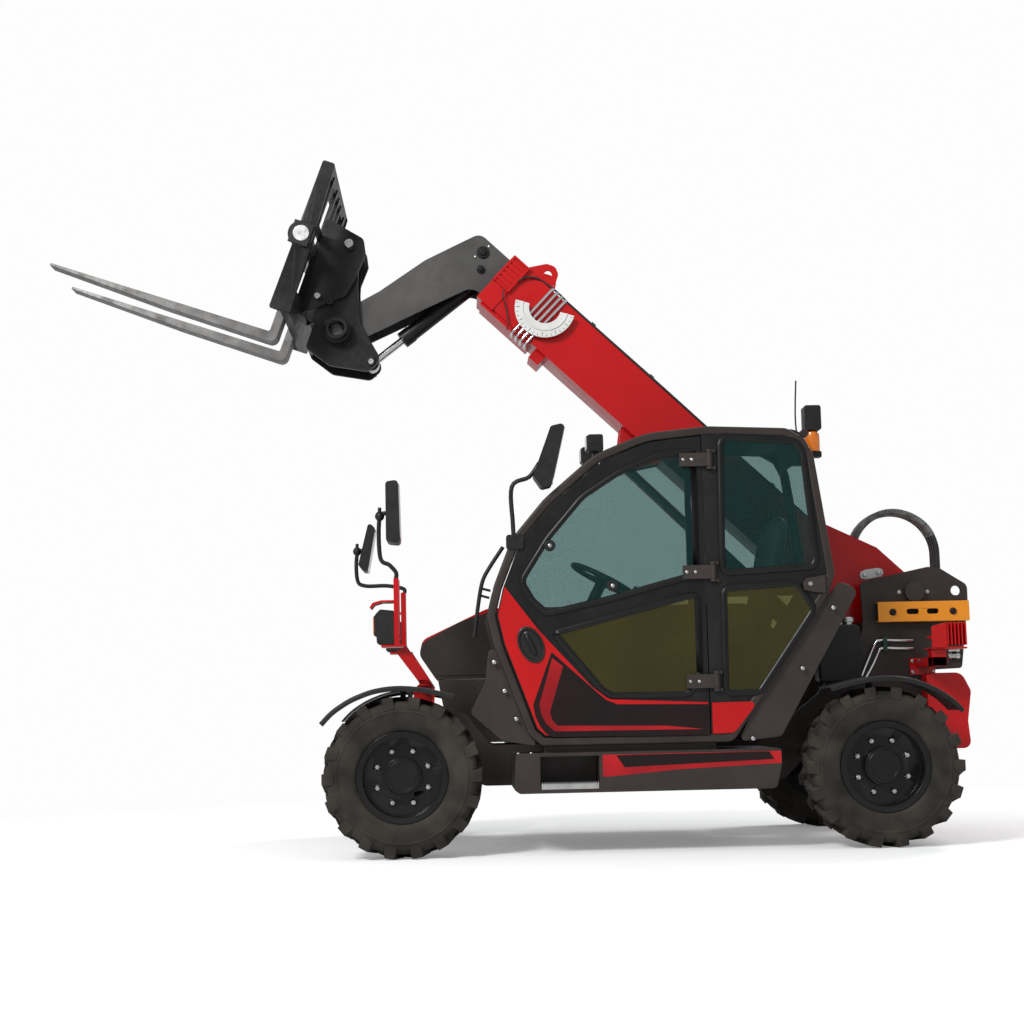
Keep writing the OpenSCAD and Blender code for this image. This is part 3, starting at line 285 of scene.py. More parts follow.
def finish(name):
    if name in made:
        return made[name]
    base, second, scale, rough, extra = finishes[name][1:]
    mat = bpy.data.materials.new(name)
    mat.use_nodes = True
    tree = mat.node_tree
    shader = tree.nodes["Principled BSDF"]
    where = node(tree, "TexCoord", {}).outputs["Object"]
    shape = node(tree, "NewGeometry", {}).outputs
    colour = blendColour(tree, remap(tree, noise(tree, where, scale), 0.35, 0.65, 0, 1), base, second)
    if "wear" in extra:
        edge = remap(tree, shape["Pointiness"], 0.53, 0.62, 0, extra["wear"])
        colour = blendColour(tree, times(tree, edge, noise(tree, where, 55)), colour, wornColour)
    if "dust" in extra:
        facing = node(tree, "SeparateXYZ", {0: shape["Normal"]}).outputs["Z"]
        top = remap(tree, facing, 0.2, 1, 0, extra["dust"])
        patchy = remap(tree, noise(tree, where, 7, 6), 0.3, 0.7, 0.2, 1.6)
        colour = blendColour(tree, times(tree, top, patchy), colour, dustColour)
    if "grime" in extra:
        spots = remap(tree, noise(tree, where, 5, 5), 0.35, 0.7, 0, extra["grime"])
        colour = blendColour(tree, spots, colour, dustColour)
    plug(tree, shader, {"Base Color": colour, "Roughness": rough[0], "Metallic": extra.get("metal", 0),
                        "Specular IOR Level": extra.get("gloss", 0.4), "Coat Weight": extra.get("coat", 0),
                        "Coat Roughness": 0.08})
    if "tint" in extra:
        clear = node(tree, "BsdfTransparent", {"Color": (*extra["tint"], 1)})
        both = mixShader(tree, extra["alpha"], clear, shader)
        plug(tree, tree.nodes["Material Output"], {"Surface": both.outputs[0]})
    else:
        plug(tree, shader, {"Roughness": remap(tree, noise(tree, where, scale * 4), 0.3, 0.7, *rough)})
    if "bump" in extra:
        strength, fine = extra["bump"]
        bump = node(tree, "Bump", {"Strength": strength, "Distance": 0.002,
                                   "Height": noise(tree, where, fine, 3)})
        plug(tree, shader, {"Normal": bump.outputs[0]})
    made[name] = mat
    return mat


# mesh helpers, all in millimetres apart from points
def connect(work, a, b):
    n = max(len(a), len(b))
    for i in range(n):
        corners = [a[i % len(a)], a[(i + 1) % len(a)], b[(i + 1) % len(b)], b[i % len(b)]]
        seen = []
        for v in corners:
            if v not in seen:
                seen.append(v)
        work.faces.new(seen)


def along(base, axis):
    return Matrix.Translation(base) @ axis.to_track_quat("Z", "Y").to_matrix().to_4x4()


def skin(work, rings, caps=True):
    for a, b in zip(rings, rings[1:]):
        connect(work, a, b)
    if caps:
        work.faces.new(rings[0])
        work.faces.new(rings[-1])


def lathe(work, profile, base, axis, steps=32):
    place = along(base, axis)
    rings = []
    for r, z in profile:
        ring = turns(steps) if r > 0 else [0]
        rings.append([work.verts.new(place @ (Vector((r * math.cos(t), r * math.sin(t), z)) * mm))
                      for t in ring])
    skin(work, rings, False)


def rod(work, a, b, r, steps=20):
    length = (b - a).length / mm
    lathe(work, [(0, 0), (r, 0), (r, length), (0, length)], a, b - a, steps)


def box(work, lo, hi):
    lo, hi = Vector(lo), Vector(hi)
    place = Matrix.Translation((lo + hi) / 2) @ Matrix.Diagonal((*(hi - lo), 1))
    bmesh.ops.create_cube(work, size=1, matrix=place)


def slab(work, outline, thick):
    base = [work.verts.new(p) for p in outline]
    top = [work.verts.new(p + thick) for p in outline]
    skin(work, [base, top])


def plate(work, outline, y0, y1):
    slab(work, [at(x, y0, z) for x, z in thinned(outline)], across(y1 - y0))


def smoothPath(points, steps=6):
    pts = [points[0]] + list(points) + [points[-1]]
    path = []
    for p0, p1, p2, p3 in zip(pts, pts[1:], pts[2:], pts[3:]):
        for i in range(steps):
            t = i / steps
            path.append(0.5 * (2 * p1 + (p2 - p0) * t + (2 * p0 - 5 * p1 + 4 * p2 - p3) * t * t
                               + (3 * p1 - p0 - 3 * p2 + p3) * t ** 3))
    return path + [points[-1]]


def tube(work, path, radius, steps=12, ridge=0):
    side = None
    rings = []
    for i, p in enumerate(path):
        ahead = (path[min(i + 1, len(path) - 1)] - path[max(i - 1, 0)]).normalized()
        if side is None:
            side = ahead.orthogonal()
        side = (side - ahead * side.dot(ahead)).normalized()
        other = ahead.cross(side)
        r = (radius + ridge * (i % 2)) * mm
        rings.append([work.verts.new(p + (side * math.cos(t) + other * math.sin(t)) * r)
                      for t in turns(steps)])
    skin(work, rings)


def hexBolt(work, p, axis, size):
    lathe(work, [(0, -1), (size * 1.15, -1), (size * 1.15, size * 0.2), (0, size * 0.2)], p, axis, 24)
    lathe(work, [(size, size * 0.2), (size, size * 0.72), (size * 0.82, size * 0.85), (0, size * 0.85)], p,
          axis, 6)


def domeBolt(work, p, axis, size):
    profile = [(size, -1), (size, size * 0.2), (size * 0.85, size * 0.45), (size * 0.5, size * 0.62),
               (0, size * 0.68)]
    lathe(work, profile, p, axis, 20)


# outlines in the side view: corners with radii, given in hundredths of a box
def inBox(shares, x0, x1, z0, z1):
    return [(x0 + a / 100 * (x1 - x0), z0 + b / 100 * (z1 - z0), r / 100 * (z1 - z0)) for a, b, r in shares]


def inset(corners, d):
    out = []
    for i, (x, z, r) in enumerate(corners):
        p = Vector((x, z))
        u = (Vector(corners[i - 1][:2]) - p).normalized()
        v = (Vector(corners[(i + 1) % len(corners)][:2]) - p).normalized()
        q = p + (u + v).normalized() * d / math.sin(math.acos(u.dot(v)) / 2)
        out.append((q.x, q.y, max(r - d, 2)))
    return out


def rounded(corners, steps=6):
    out = []
    for i, (x, z, r) in enumerate(corners):
        p = Vector((x, z))
        a = Vector(corners[i - 1][:2]) - p
        b = Vector(corners[(i + 1) % len(corners)][:2]) - p
        half = math.acos(max(-1, min(1, a.normalized().dot(b.normalized())))) / 2
        reach = min(r / math.tan(half), 0.49 * min(a.length, b.length))
        r = reach * math.tan(half)
        hub = p + (a.normalized() + b.normalized()).normalized() * r / math.sin(half)
        start = p + a.normalized() * reach - hub
        end = p + b.normalized() * reach - hub
        t0 = math.atan2(start.y, start.x)
        turn = (math.atan2(end.y, end.x) - t0 + math.pi) % (2 * math.pi) - math.pi
        for k in range(steps + 1):
            t = t0 + turn * k / steps
            out.append((hub.x + r * math.cos(t), hub.y + r * math.sin(t)))
    return out


def rect(x0, z0, x1, z1):
    return [(x0, z0), (x1, z0), (x1, z1), (x0, z1)]


def softRect(x0, z0, x1, z1, r):
    return rounded([(x, z, r) for x, z in rect(x0, z0, x1, z1)])


def clip(poly, convex):
    area = sum(a[0] * b[1] - b[0] * a[1] for a, b in zip(convex, convex[1:] + convex[:1]))
    if area < 0:
        convex = convex[::-1]
    for a, b in zip(convex, convex[1:] + convex[:1]):
        kept = []
        for p, q in zip(poly, poly[1:] + poly[:1]):
            sp = (b[0] - a[0]) * (p[1] - a[1]) - (b[1] - a[1]) * (p[0] - a[0])
            sq = (b[0] - a[0]) * (q[1] - a[1]) - (b[1] - a[1]) * (q[0] - a[0])
            if sp >= 0:
                kept.append(p)
            if sp * sq < 0:
                t = sp / (sp - sq)
                kept.append((p[0] + (q[0] - p[0]) * t, p[1] + (q[1] - p[1]) * t))
        poly = kept
    return poly


def thinned(poly):
    kept = []
    for p in poly:
        if not kept or math.dist(p, kept[-1]) > 0.4:
            kept.append(p)
    return kept if math.dist(kept[0], kept[-1]) > 0.4 else kept[:-1]


def holedPlate(work, outer, holes, y0, y1):
    edges = []
    for loop in [outer] + holes:
        vs = [work.verts.new(at(x, y0, z)) for x, z in thinned(loop)]
        edges += [work.edges.new((v, vs[(i + 1) % len(vs)])) for i, v in enumerate(vs)]
    filled = bmesh.ops.triangle_fill(work, use_beauty=True, edges=edges)["geom"]
    faces = [g for g in filled if isinstance(g, bmesh.types.BMFace)]
    raised = bmesh.ops.extrude_face_region(work, geom=faces, use_keep_orig=True)["geom"]
    verts = [g for g in raised if isinstance(g, bmesh.types.BMVert)]
    bmesh.ops.translate(work, verts=verts, vec=across(y1 - y0))


def block(work, x0, x1, y0, y1, z0, z1):
    box(work, at(x0, y0, z0), at(x1, y1, z1))


# a piece: its mesh, finish, rounded edges, body and the solids it stands for
def piece(name, work, mat, body, width=0, stands=(), slot=None):
    bmesh.ops.recalc_face_normals(work, faces=work.faces)
    mesh = bpy.data.meshes.new(name)
    work.to_mesh(mesh)
    work.free()
    obj = bpy.data.objects.new(name, mesh)
    scene.collection.objects.link(obj)
    mesh.materials.append(finish(mat))
    mesh.shade_smooth()
    mesh.set_sharp_from_angle(angle=math.radians(32))
    if width:
        edge = obj.modifiers.new("roundEdges", "BEVEL")
        edge.limit_method = "ANGLE"
        edge.angle_limit = math.radians(32)
        edge.width = width * mm
        edge.segments = 2
        edge.miter_outer = "MITER_ARC"
        edge.harden_normals = True
    if body:
        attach(obj, body)
    if stands:
        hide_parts(*stands)
    slot or finishes[mat][0]
    return obj


def sheet(name, outline, ys, mat, body, width=0, stands=()):
    work = bmesh.new()
    plate(work, outline, *ys)
    return piece(name, work, mat, body, width, stands)


# dressed copies of the solids: merged, flat faces joined, edges rounded
def cleaned(node):
    work = bmesh.new()
    work.from_mesh(nodes[node].data)
    bmesh.ops.remove_doubles(work, verts=work.verts, dist=2e-5)
    bmesh.ops.dissolve_limit(work, angle_limit=math.radians(0.6), verts=work.verts, edges=work.edges)
    return work


solids = {
    "redPaint": ["counterweight", "boom_outer"],
    "darkPaint": ["chassis_frame", "engine_bay", "side_skirt"],
    "blackPaint": ["axle_front", "axle_rear", "coupler", "carriage", "lift_barrel", "tilt_barrel"],
    "blackPlastic": ["cab_floor", "cab_roof", "dash", "steering_wheel"],
    "chrome": ["lift_rod", "tilt_rod"], "castIron": ["engine"], "zincSteel": ["step_tread", "fork_shaft"],
    "neckSteel": ["boom_inner"], "forkSteel": ["forks"],
}
wheelCorners = ("front_left", "front_right", "rear_left", "rear_right")
solids["blackPaint"] += ["knuckle_" + c for c in wheelCorners]
solids["rimPaint"] = ["rim_" + c for c in wheelCorners]
for mat, members in solids.items():
    for name in members:
        piece(name + "Dressed", cleaned(name), mat, bodyOf[name], 3, (name,), slotOf[name])
print("solids dressed")

# tyres: rounded carcass with sidewall ribs, and curved lugs in two rows
tyre = {"lugs": 18, "lugWidth": 62, "skew": 59, "steps": 96, "reach": 151, "turn": 403,
        "wall": [(217, 108), (226, 116), (238, 120), (243, 130), (250, 137), (258, 140), (266, 143.5),
                 (290, 149),
                 (315, 151), (330, 150.5), (333, 152.5), (340, 152.5), (343, 149.5), (358, 146.5),
                 (372, 139.5),
                 (383, 126), (389, 108), (391, 80)],
        "sections": [(1.0, 350, 356), (0.985, 360, 390), (0.95, 370, 410), (0.87, 378, 415), (0.6, 380, 415),
                     (0.3, 380, 415), (0.0, 380, 415), (-0.1, 380, 413), (-0.14, 382, 394)]}


def addLug(work, place, form, start, row):
    rings = []
    for share, foot, top in form["sections"]:
        drift = form["skew"] * ((1 - share) / 1.12) ** 1.7
        half = form["lugWidth"] * (1 / 2 if share > 0.5 else 1 / 3 + (share + 0.12) / 0.62 / 6)
        ring = []
        for off, r in ((-half - 3, foot), (-half + 4, top), (half - 4, top), (half + 3, foot)):
            ring.append(work.verts.new(place(start + (drift + off) / form["turn"], r,
                                             row * share * form["reach"])))
        rings.append(ring)
    skin(work, rings)


def signs(corner):
    return -1 if corner.endswith("left") else 1, 1 if corner.startswith("front") else -1


def makeTyre(corner, form):
    name = "tyre_" + corner
    hub = middle(name)
    side, ahead = signs(corner)

    def place(angle, r, w):
        return hub + Vector((ahead * r * math.cos(angle), side * w, r * math.sin(angle))) * mm

    work = bmesh.new()
    profile = form["wall"] + [(392, 0)] + [(r, -w) for r, w in reversed(form["wall"])]
    rings = [[work.verts.new(place(t, r, w)) for t in turns(form["steps"])] for r, w in profile]
    skin(work, rings + rings[:1], False)
    for row, shift in ((1, 0), (-1, 0.5)):
        for start in turns(form["lugs"], shift):
            addLug(work, place, form, start, row)
    piece("tyre" + corner, work, "tyreRubber", bodyOf[name], 4, (name,))


# wheel nuts on their studs, and the hub's plain cover
hubForm = {"ring": 142, "count": 8, "seat": 42, "nut": 15, "stud": 8, "studOut": 74, "face": 92, "cover": 90}


def makeHub(corner, ring, count, seat, nut, stud, studOut, face, cover):
    body = bodyOf["rim_" + corner]
    hub = middle("rim_" + corner)
    out = Vector((0, signs(corner)[0], 0))
    reach = studOut - seat
    nuts = bmesh.new()
    for t in turns(count, 0.5):
        p = hub + Vector((math.cos(t), 0, math.sin(t))) * ring * mm + out * seat * mm
        lathe(nuts, [(18, 0), (18, 5), (nut, 5.5), (nut, 17), (12, 20), (stud, 20), (stud, reach),
                     (0, reach)], p, out, 6)
    piece("wheelNuts" + corner, nuts, "zincSteel", body, 1)
    work = bmesh.new()
    profile = [(cover, 0), (cover, 5), (cover - 5, 9), (70, 9), (68, 7), (0, 7)]
    lathe(work, profile, hub + out * face * mm, out, 48)
    piece("hubCover" + corner, work, "rimPaint", body, 0.8)


# fenders: arched sheets with a lip along the outer edge, on a post with an arm
fender = {"path": [(-424, 703), (-365, 763), (-282, 818), (-210, 850), (-138, 872), (-46, 884), (46, 882),
                   (130, 870),
                   (205, 853), (279, 834)], "thick": 10, "lip": 28, "lipWide": 12, "outer": 977,
          "inner": 674,
          "half": 15, "post": (635, 665, 568), "arm": (665, 825, 860), "top": 872}


def makeFender(corner, path, thick, lip, lipWide, outer, inner, half, post, arm, top):
    name = "fender_" + corner
    side, ahead = signs(corner)
    wheel = middle("rim_" + corner)
    path = smoothPath([Vector(p) for p in path], 4)
    section = [(inner, 0), (outer - 20, 0), (outer - 6, -3), (outer, -10), (outer, -lip),
               (outer - lipWide, -lip),
               (outer - lipWide, -thick), (inner, -thick)]
    work = bmesh.new()
    rings = []
    for i, p in enumerate(path):
        run = (path[min(i + 1, len(path) - 1)] - path[max(i - 1, 0)]).normalized()
        spots = [(y, p + Vector((-run.y, run.x)) * n) for y, n in section]
        rings.append([work.verts.new((wheel.x + ahead * q.x * mm, side * y * mm, q.y * mm)) for y,
                      q in spots])
    skin(work, rings)
    for near, wide, low in (post, arm):
        ys = sorted((side * near * mm, side * wide * mm))
        box(work, (wheel.x - half * mm, ys[0], low * mm), (wheel.x + half * mm, ys[1], top * mm))
    piece("fender" + corner, work, "blackPlastic", bodyOf[name], 2, (name,), slotOf[name])


for corner in wheelCorners:
    makeFender(corner, **fender)
    makeTyre(corner, tyre)
    makeHub(corner, **hubForm)
print("wheels made")

# cab: side frames with the door opening and quarter windows, panes with black borders, panels at the corners
cab = {"front": 452, "rear": 2288, "low": 558, "top": 2222, "tube": 45, "out": -930, "gap": 5,
       "doorRear": 1600,
       "pillar": 80, "doorThick": 40, "lap": 18, "pane": (-936, -930.3), "panel": (-938, -930.3),
       "leg": (-905, -893),
       "bars": [(1050, 2062), (2165, 2182), (2238, 1400), (492, 945)], "barY": (-886, -234),
       "right": (-235, -190),
       "sill": (1360, 1440), "border": 0.034, "lift": 0.0007, "leftPanes": -0.8, "barR": 22}
cabShares = {
    "outline": [(14.8, 0, 3.6), (11.1, 3.6, 4.8), (2.1, 30.7, 18), (0, 40.9, 6.6), (2.1, 50.4, 13.2),
                (7.4, 65.1, 18),
                (17, 77.6, 25.2), (31.8, 91.5, 25.2), (46.4, 98, 30), (64.4, 100, 30), (87.6, 99, 4.2),
                (92.8, 95.7, 3.6),
                (95.3, 90, 5.4), (100, 51.9, 5.4), (97.8, 45.4, 4.2), (69, 0, 3.6)],
    "doorHigh": [(9.9, 51.5, 3.6), (17.6, 64.7, 15), (27.9, 77.9, 15), (38.8, 85.6, 15), (50.5, 90.9, 15),
                 (60.8, 92, 1.8),
                 (60.2, 52.8, 1.8), (34.9, 45.5, 24), (17.1, 41.3, 3), (13.1, 45.4, 2.4)],
    "doorLow": [(19, 35.1, 0.8), (60.3, 46.5, 1.8), (60.3, 22.4, 3.6), (57.1, 15.1, 3.6), (34.9, 15.2, 3.6),
                (32.1, 17.2, 3.6)],
    "doorPanel": [(-2.8, -3.3, 0.1), (-2.8, 46.5, 0.1), (5.2, 49.9, 0.5), (14.5, 36.2, 2.4),
                  (29.3, 18.1, 4.8),
                  (34.1, 14.1, 3.6), (64.7, 12.4, 0.1), (64.7, -3.3, 0.1)],
    "quarterHigh": [(68.2, 96.2, 2.4), (90, 94.6, 2.4), (91.9, 91.5, 3.6), (94.6, 56.7, 2.4),
                    (93.6, 54.5, 1.8),
                    (67.6, 53, 1.8)],
    "quarterLow": [(67.8, 47.9, 1.8), (88.9, 49.3, 3), (93.5, 41.1, 2.4), (77, 15.4, 3), (67.4, 15.2, 1.8)],
    "quarterPanel": [(63.2, 12.4, 0.2), (76.5, 12.5, 1.2), (69.4, 2.9, 3), (63.2, 2.7, 0.2)]}
legShares = [((354, 690, 560, 1069), [(31, 100, 3.9), (24.1, 64.4, 11.8), (0, 34.4, 5.9), (49.4, 5.9, 7.9),
                                      (100, 0, 0.8), (100, 86.4, 0.8)]),
             ((1753, 2417, 560, 1385), [(84.3, 100, 3.6), (100, 94.9, 4.9), (33.6, 2.6, 4.9), (0, 0, 2.4),
                                        (22.1, 41, 0.5)])]
far = 4000


def inCab(name):
    return inBox(cabShares[name], cab["front"], cab["rear"], cab["low"], cab["top"])


def cabInside(d):
    return rounded(inset(inCab("outline"), d) if d else inCab("outline"))


def doorOutline(d):
    return clip(cabInside(cab["tube"] + cab["gap"] + d), rect(0, 0, cab["doorRear"] - d, far))


def loosePieces(work):
    work.verts.ensure_lookup_table()
    left = set(range(len(work.verts)))
    while left:
        stack = [left.pop()]
        group = set(stack)
        while stack:
            v = work.verts[stack.pop()]
            for e in v.link_edges:
                o = e.other_vert(v).index
                if o in left:
                    left.remove(o)
                    group.add(o)
                    stack.append(o)
        part = work.copy()
        part.verts.ensure_lookup_table()
        gone = [v for v in part.verts if v.index not in group]
        bmesh.ops.delete(part, geom=gone, context="VERTS")
        yield part


def makePane(name, outline, mat, body, node, c):
    work = bmesh.new()
    plate(work, outline, *c["pane"])
    bmesh.ops.recalc_face_normals(work, faces=work.faces)
    part = work.copy()
    piece(name, work, mat, body, 0, (node,))
    outer = [f for f in part.faces if f.normal.y < -0.9]
    ring = bmesh.ops.inset_region(part, faces=outer, thickness=c["border"], use_even_offset=True)["faces"]
    keep = set(ring)
    bmesh.ops.delete(part, geom=[f for f in part.faces if f not in keep], context="FACES")
    bmesh.ops.translate(part, verts=part.verts, vec=(0, -c["lift"], 0))
    edge = piece(name + "Border", part, "glassBorder", body)
    thick = edge.modifiers.new("thickness", "SOLIDIFY")
    thick.thickness = c["lift"]


def makeCabFrame(c):
    post = c["doorRear"] + c["gap"]
    left = bmesh.new()
    holedPlate(left, cabInside(0), [cabInside(c["tube"])], c["out"] - 4, c["out"] + c["tube"])
    piece("cabLeft", left, "darkPaint", "chassis", 13, ("cab_frame",))
    infill = bmesh.new()
    holedPlate(infill, clip(cabInside(c["tube"] - 6), rect(post, 0, far, far)),
               [rounded(inCab("quarterHigh")), rounded(inCab("quarterLow"))], c["out"],
               c["out"] + c["tube"] - 8)
    piece("cabInfill", infill, "blackPaint", "chassis", 3, ("cab_frame",), "dark_paint")
    right = bmesh.new()
    ring = cabInside(c["tube"])
    holes = [clip(ring, rect(0, 0, post, far)), clip(ring, rect(post + c["pillar"], c["sill"][1], far, far)),
             clip(ring, rect(post + c["pillar"], 0, far, c["sill"][0]))]
    holedPlate(right, cabInside(0), holes, *c["right"])
    for x, z in c["bars"]:
        rod(right, at(x, c["barY"][0], z), at(x, c["barY"][1], z), c["barR"])
    piece("cabRight", right, "darkPaint", "chassis", 5, ("cab_frame",))
    for i, part in enumerate(loosePieces(cleaned("cab_glass"))):
        if max(v.co.y for v in part.verts) < c["leftPanes"]:
            part.free()
        else:
            piece("cabPane" + str(i), part, "upperGlass", "chassis", 0, ("cab_glass",))
    for name, mat in (("quarterHigh", "upperGlass"), ("quarterLow", "lowerGlass")):
        makePane(name + "Pane", rounded(inset(inCab(name), -c["lap"])), mat, "chassis", "cab_glass", c)
    sheet("quarterPanel", rounded(inCab("quarterPanel")), c["panel"], "redPaint", "chassis", 2,
          ("cab_panel",))
    legs = bmesh.new()
    for sides, shares in legShares:
        plate(legs, rounded(inBox(shares, *sides)), *c["leg"])
    piece("legPanels", legs, "darkPaint", "chassis", 3)


def makeDoorFrame(c):
    work = bmesh.new()
    holedPlate(work, doorOutline(0), [rounded(inCab("doorHigh")), rounded(inCab("doorLow"))], c["out"],
               c["out"] + c["doorThick"])
    piece("doorFrame", work, "blackPaint", "door", 4, ("door_frame",), "dark_paint")
    for name, mat in (("doorHigh", "upperGlass"), ("doorLow", "lowerGlass")):
        outline = clip(rounded(inset(inCab(name), -c["lap"])), doorOutline(6))
        makePane(name + "Pane", clip(outline, rect(0, 0, c["doorRear"] - 28, far)), mat, "door",
                 "door_glass", c)
    sheet("doorPanel", clip(rounded(inCab("doorPanel")), doorOutline(6)), c["panel"], "redPaint", "door", 2)


# hinges: straps on the door, leaves and pins on the rear post
hinge = {"x": 1641, "y": -946.3, "zs": (830, 1400, 1995), "tall": 90, "low": 9, "r": 16, "leaf": 16,
         "strap": (1482, -954.3, -936.3), "face": -930}


def makeHinges(x, y, zs, tall, low, r, leaf, strap, face):
    straps, leaves = bmesh.new(), bmesh.new()
    x0, y0, y1 = strap
    for z in zs:
        bottom, top = z + low, z + tall - low
        block(straps, x0, x, y0, y1, bottom, top)
        rod(straps, at(x, y, bottom), at(x, y, top), r)
        for s in (bottom - leaf - 1, top + 1):
            rod(leaves, at(x, y, s), at(x, y, s + leaf), r)
            block(leaves, x - r, x + 2 * r, y, face, s, s + leaf)
    piece("doorStraps", straps, "darkPaint", "door", 2, ("door_frame",))
    piece("doorLeaves", leaves, "darkPaint", "chassis", 1.5, ("door_hinges",))


makeCabFrame(cab)
makeDoorFrame(cab)
makeHinges(**hinge)
print("cab and panes made")

# hood: red lid, dark sides with louvres, apron under its left side
hood = {"split": 1.15, "sides": (72, 2190, 935, 1345), "lid": 22, "left": (184, 190), "right": (930, 936),
        "louvres": 9,
        "first": 640, "pitch": 74, "wide": 34, "low": 985, "high": 1115, "finY": (930.2, 935), "fins": 5,
        "apron": [(176, 932, 8), (700, 932, 2), (700, 565, 2), (330, 565, 20), (215, 720, 40)],
        "apronY": (185, 189.8),
        "shares": [(4.2, 0, 4.9), (0, 50, 9.8), (0.8, 59.3, 9.8), (10.8, 86.1, 48.8), (19.3, 100, 48.8),
                   (92.4, 100, 39),
                   (100, 53.7, 19.5), (99.1, 0, 4.9)]}


def makeHood(split, sides, lid, left, right, louvres, first, pitch, wide, low, high, finY, fins, apron,
             apronY, shares):
    for name, mat, upper in (("hoodLid", "redPaint", True), ("hoodLower", "darkPaint", False)):
        work = cleaned("hood")
        bmesh.ops.bisect_plane(work, geom=work.verts[:] + work.edges[:] + work.faces[:],
                               plane_co=(0, 0, split),
                               plane_no=(0, 0, 1), clear_outer=not upper, clear_inner=upper)
        piece(name, work, mat, "hood", 3, ("hood",))
    starts = [first + i * pitch for i in range(louvres)]
    outline = rounded(inset(inBox(shares, *sides), lid))
    cheeks = bmesh.new()
    plate(cheeks, outline, *left)
    holedPlate(cheeks, outline, [softRect(x, low, x + wide, high, 8) for x in starts], *right)
    piece("hoodCheeks", cheeks, "darkPaint", "hood", 2)
    sheet("hoodApron", rounded(apron), apronY, "darkPaint", "chassis", 2)
    work = bmesh.new()
    for x in starts:
        block(work, x - 3, x + wide + 3, finY[0], finY[0] + 1, low - 3, high + 3)
        for k in range(fins):
            z = low + (high - low) * (k + 0.5) / fins
            block(work, x, x + wide, *finY, z - 3, z + 3)
    piece("louvreFins", work, "blackPlastic", "hood", 1)


makeHood(**hood)
print("hood made")

# seat: crowned cushions with sewn channels, on a ribbed base
seat = {"mid": -560, "front": 1535, "rear": 1840, "half": 150, "ribs": 8, "floor": 594, "top": 1010,
        "crown": 12,
        "channels": (-130, 130), "cushion": (480, 480, 120), "cushionAt": (1705, 1070),
        "back": (660, 440, 105),
        "backAt": (1990, 1440), "backLean": 78}


def addPad(work, place, size, crown, channels, steps=72):
    a, b, h = (s * mm / 2 for s in size)
    shares = (0.15, 0.3, 0.45, 0.6, 0.72, 0.82, 0.9, 0.95, 0.98, 1)
    rings = [[work.verts.new(place @ Vector((0, 0, h + crown * mm)))]]
    for top in (1, -1):
        for k in shares if top > 0 else reversed(shares[:-1]):
            ring = []
            for t in turns(steps):
                c, s = math.cos(t), math.sin(t)
                reach = (abs(c) ** 5 + abs(s) ** 5) ** -0.2 * (1 - 0.03 * math.cos(2 * t) ** 2) * k
                x, y = a * reach * c, b * reach * s
                z = h * (1 - k ** 6) ** 0.4
                if top > 0:
                    z += crown * mm * (1 - k * k)
                    z -= sum(0.009 * math.exp(-((y - m * mm) / 0.01) ** 2) for m in channels) * (1 - k ** 4)
                ring.append(work.verts.new(place @ Vector((x, y, z * top))))
            rings.append(ring)
    rings.append([work.verts.new(place @ Vector((0, 0, -h)))])
    skin(work, rings, False)


def makeSeat(mid, front, rear, half, ribs, floor, top, crown, channels, cushion, cushionAt, back, backAt,
             backLean):
    body = bodyOf["seat"]
    base = bmesh.new()
    step = (top - floor) / ribs
    for i in range(ribs):
        grow = 10 if i % 2 else 0
        block(base, front - grow, rear + grow, mid - half - grow, mid + half + grow, floor + step * i,
              floor + step * (i + 0.8))
    block(base, front + 8, rear - 8, mid - half + 8, mid + half - 8, floor, top)
    piece("seatBase", base, "blackPlastic", body, 4, ("seat",))
    flat = Matrix.Translation(at(cushionAt[0], mid, cushionAt[1]))
    lean = Matrix.Translation(at(backAt[0], mid, backAt[1])) @ Matrix.Rotation(math.radians(-backLean), 4,
                                                                               "Y")
    for name, place, size in (("seatCushion", flat, cushion), ("seatBack", lean, back)):
        work = bmesh.new()
        addPad(work, place, size, crown, channels)
        obj = piece(name, work, "seatCover", body, 0, ("seat",))


makeSeat(**seat)

# dash: two round gauges in a hood, and a row of switches
dash = {"x": 1000, "z": 1205, "mid": -560, "gaugeYs": (-70, 70), "gaugeBack": 45, "switches": 6, "pitch": 46,
        "lean": 52}


def makeDash(x, z, mid, gaugeYs, gaugeBack, switches, pitch, lean):
    body = bodyOf["dash"]
    out = Vector((math.cos(math.radians(lean)), 0, math.sin(math.radians(lean))))
    rims, faces = bmesh.new(), bmesh.new()
    for y in gaugeYs:
        p = at(x - gaugeBack, mid + y, z + 4)
        lathe(rims, [(48, -8), (48, 10), (44, 12), (40, 10), (40, 2)], p, out)
        lathe(faces, [(40, 2), (38, 3), (6, 3), (6, 6), (0, 6)], p, out)
    for i in range(switches):
        p = at(x, mid + (i - (switches - 1) / 2) * pitch, z - 12)
        lathe(rims, [(14, -6), (14, 6), (11, 9), (0, 10)], p, out, 4)
    piece("dashRims", rims, "blackPlastic", body, 1)
    piece("gaugeFaces", faces, "whitePaint", body)


makeDash(**dash)
print("inside made")

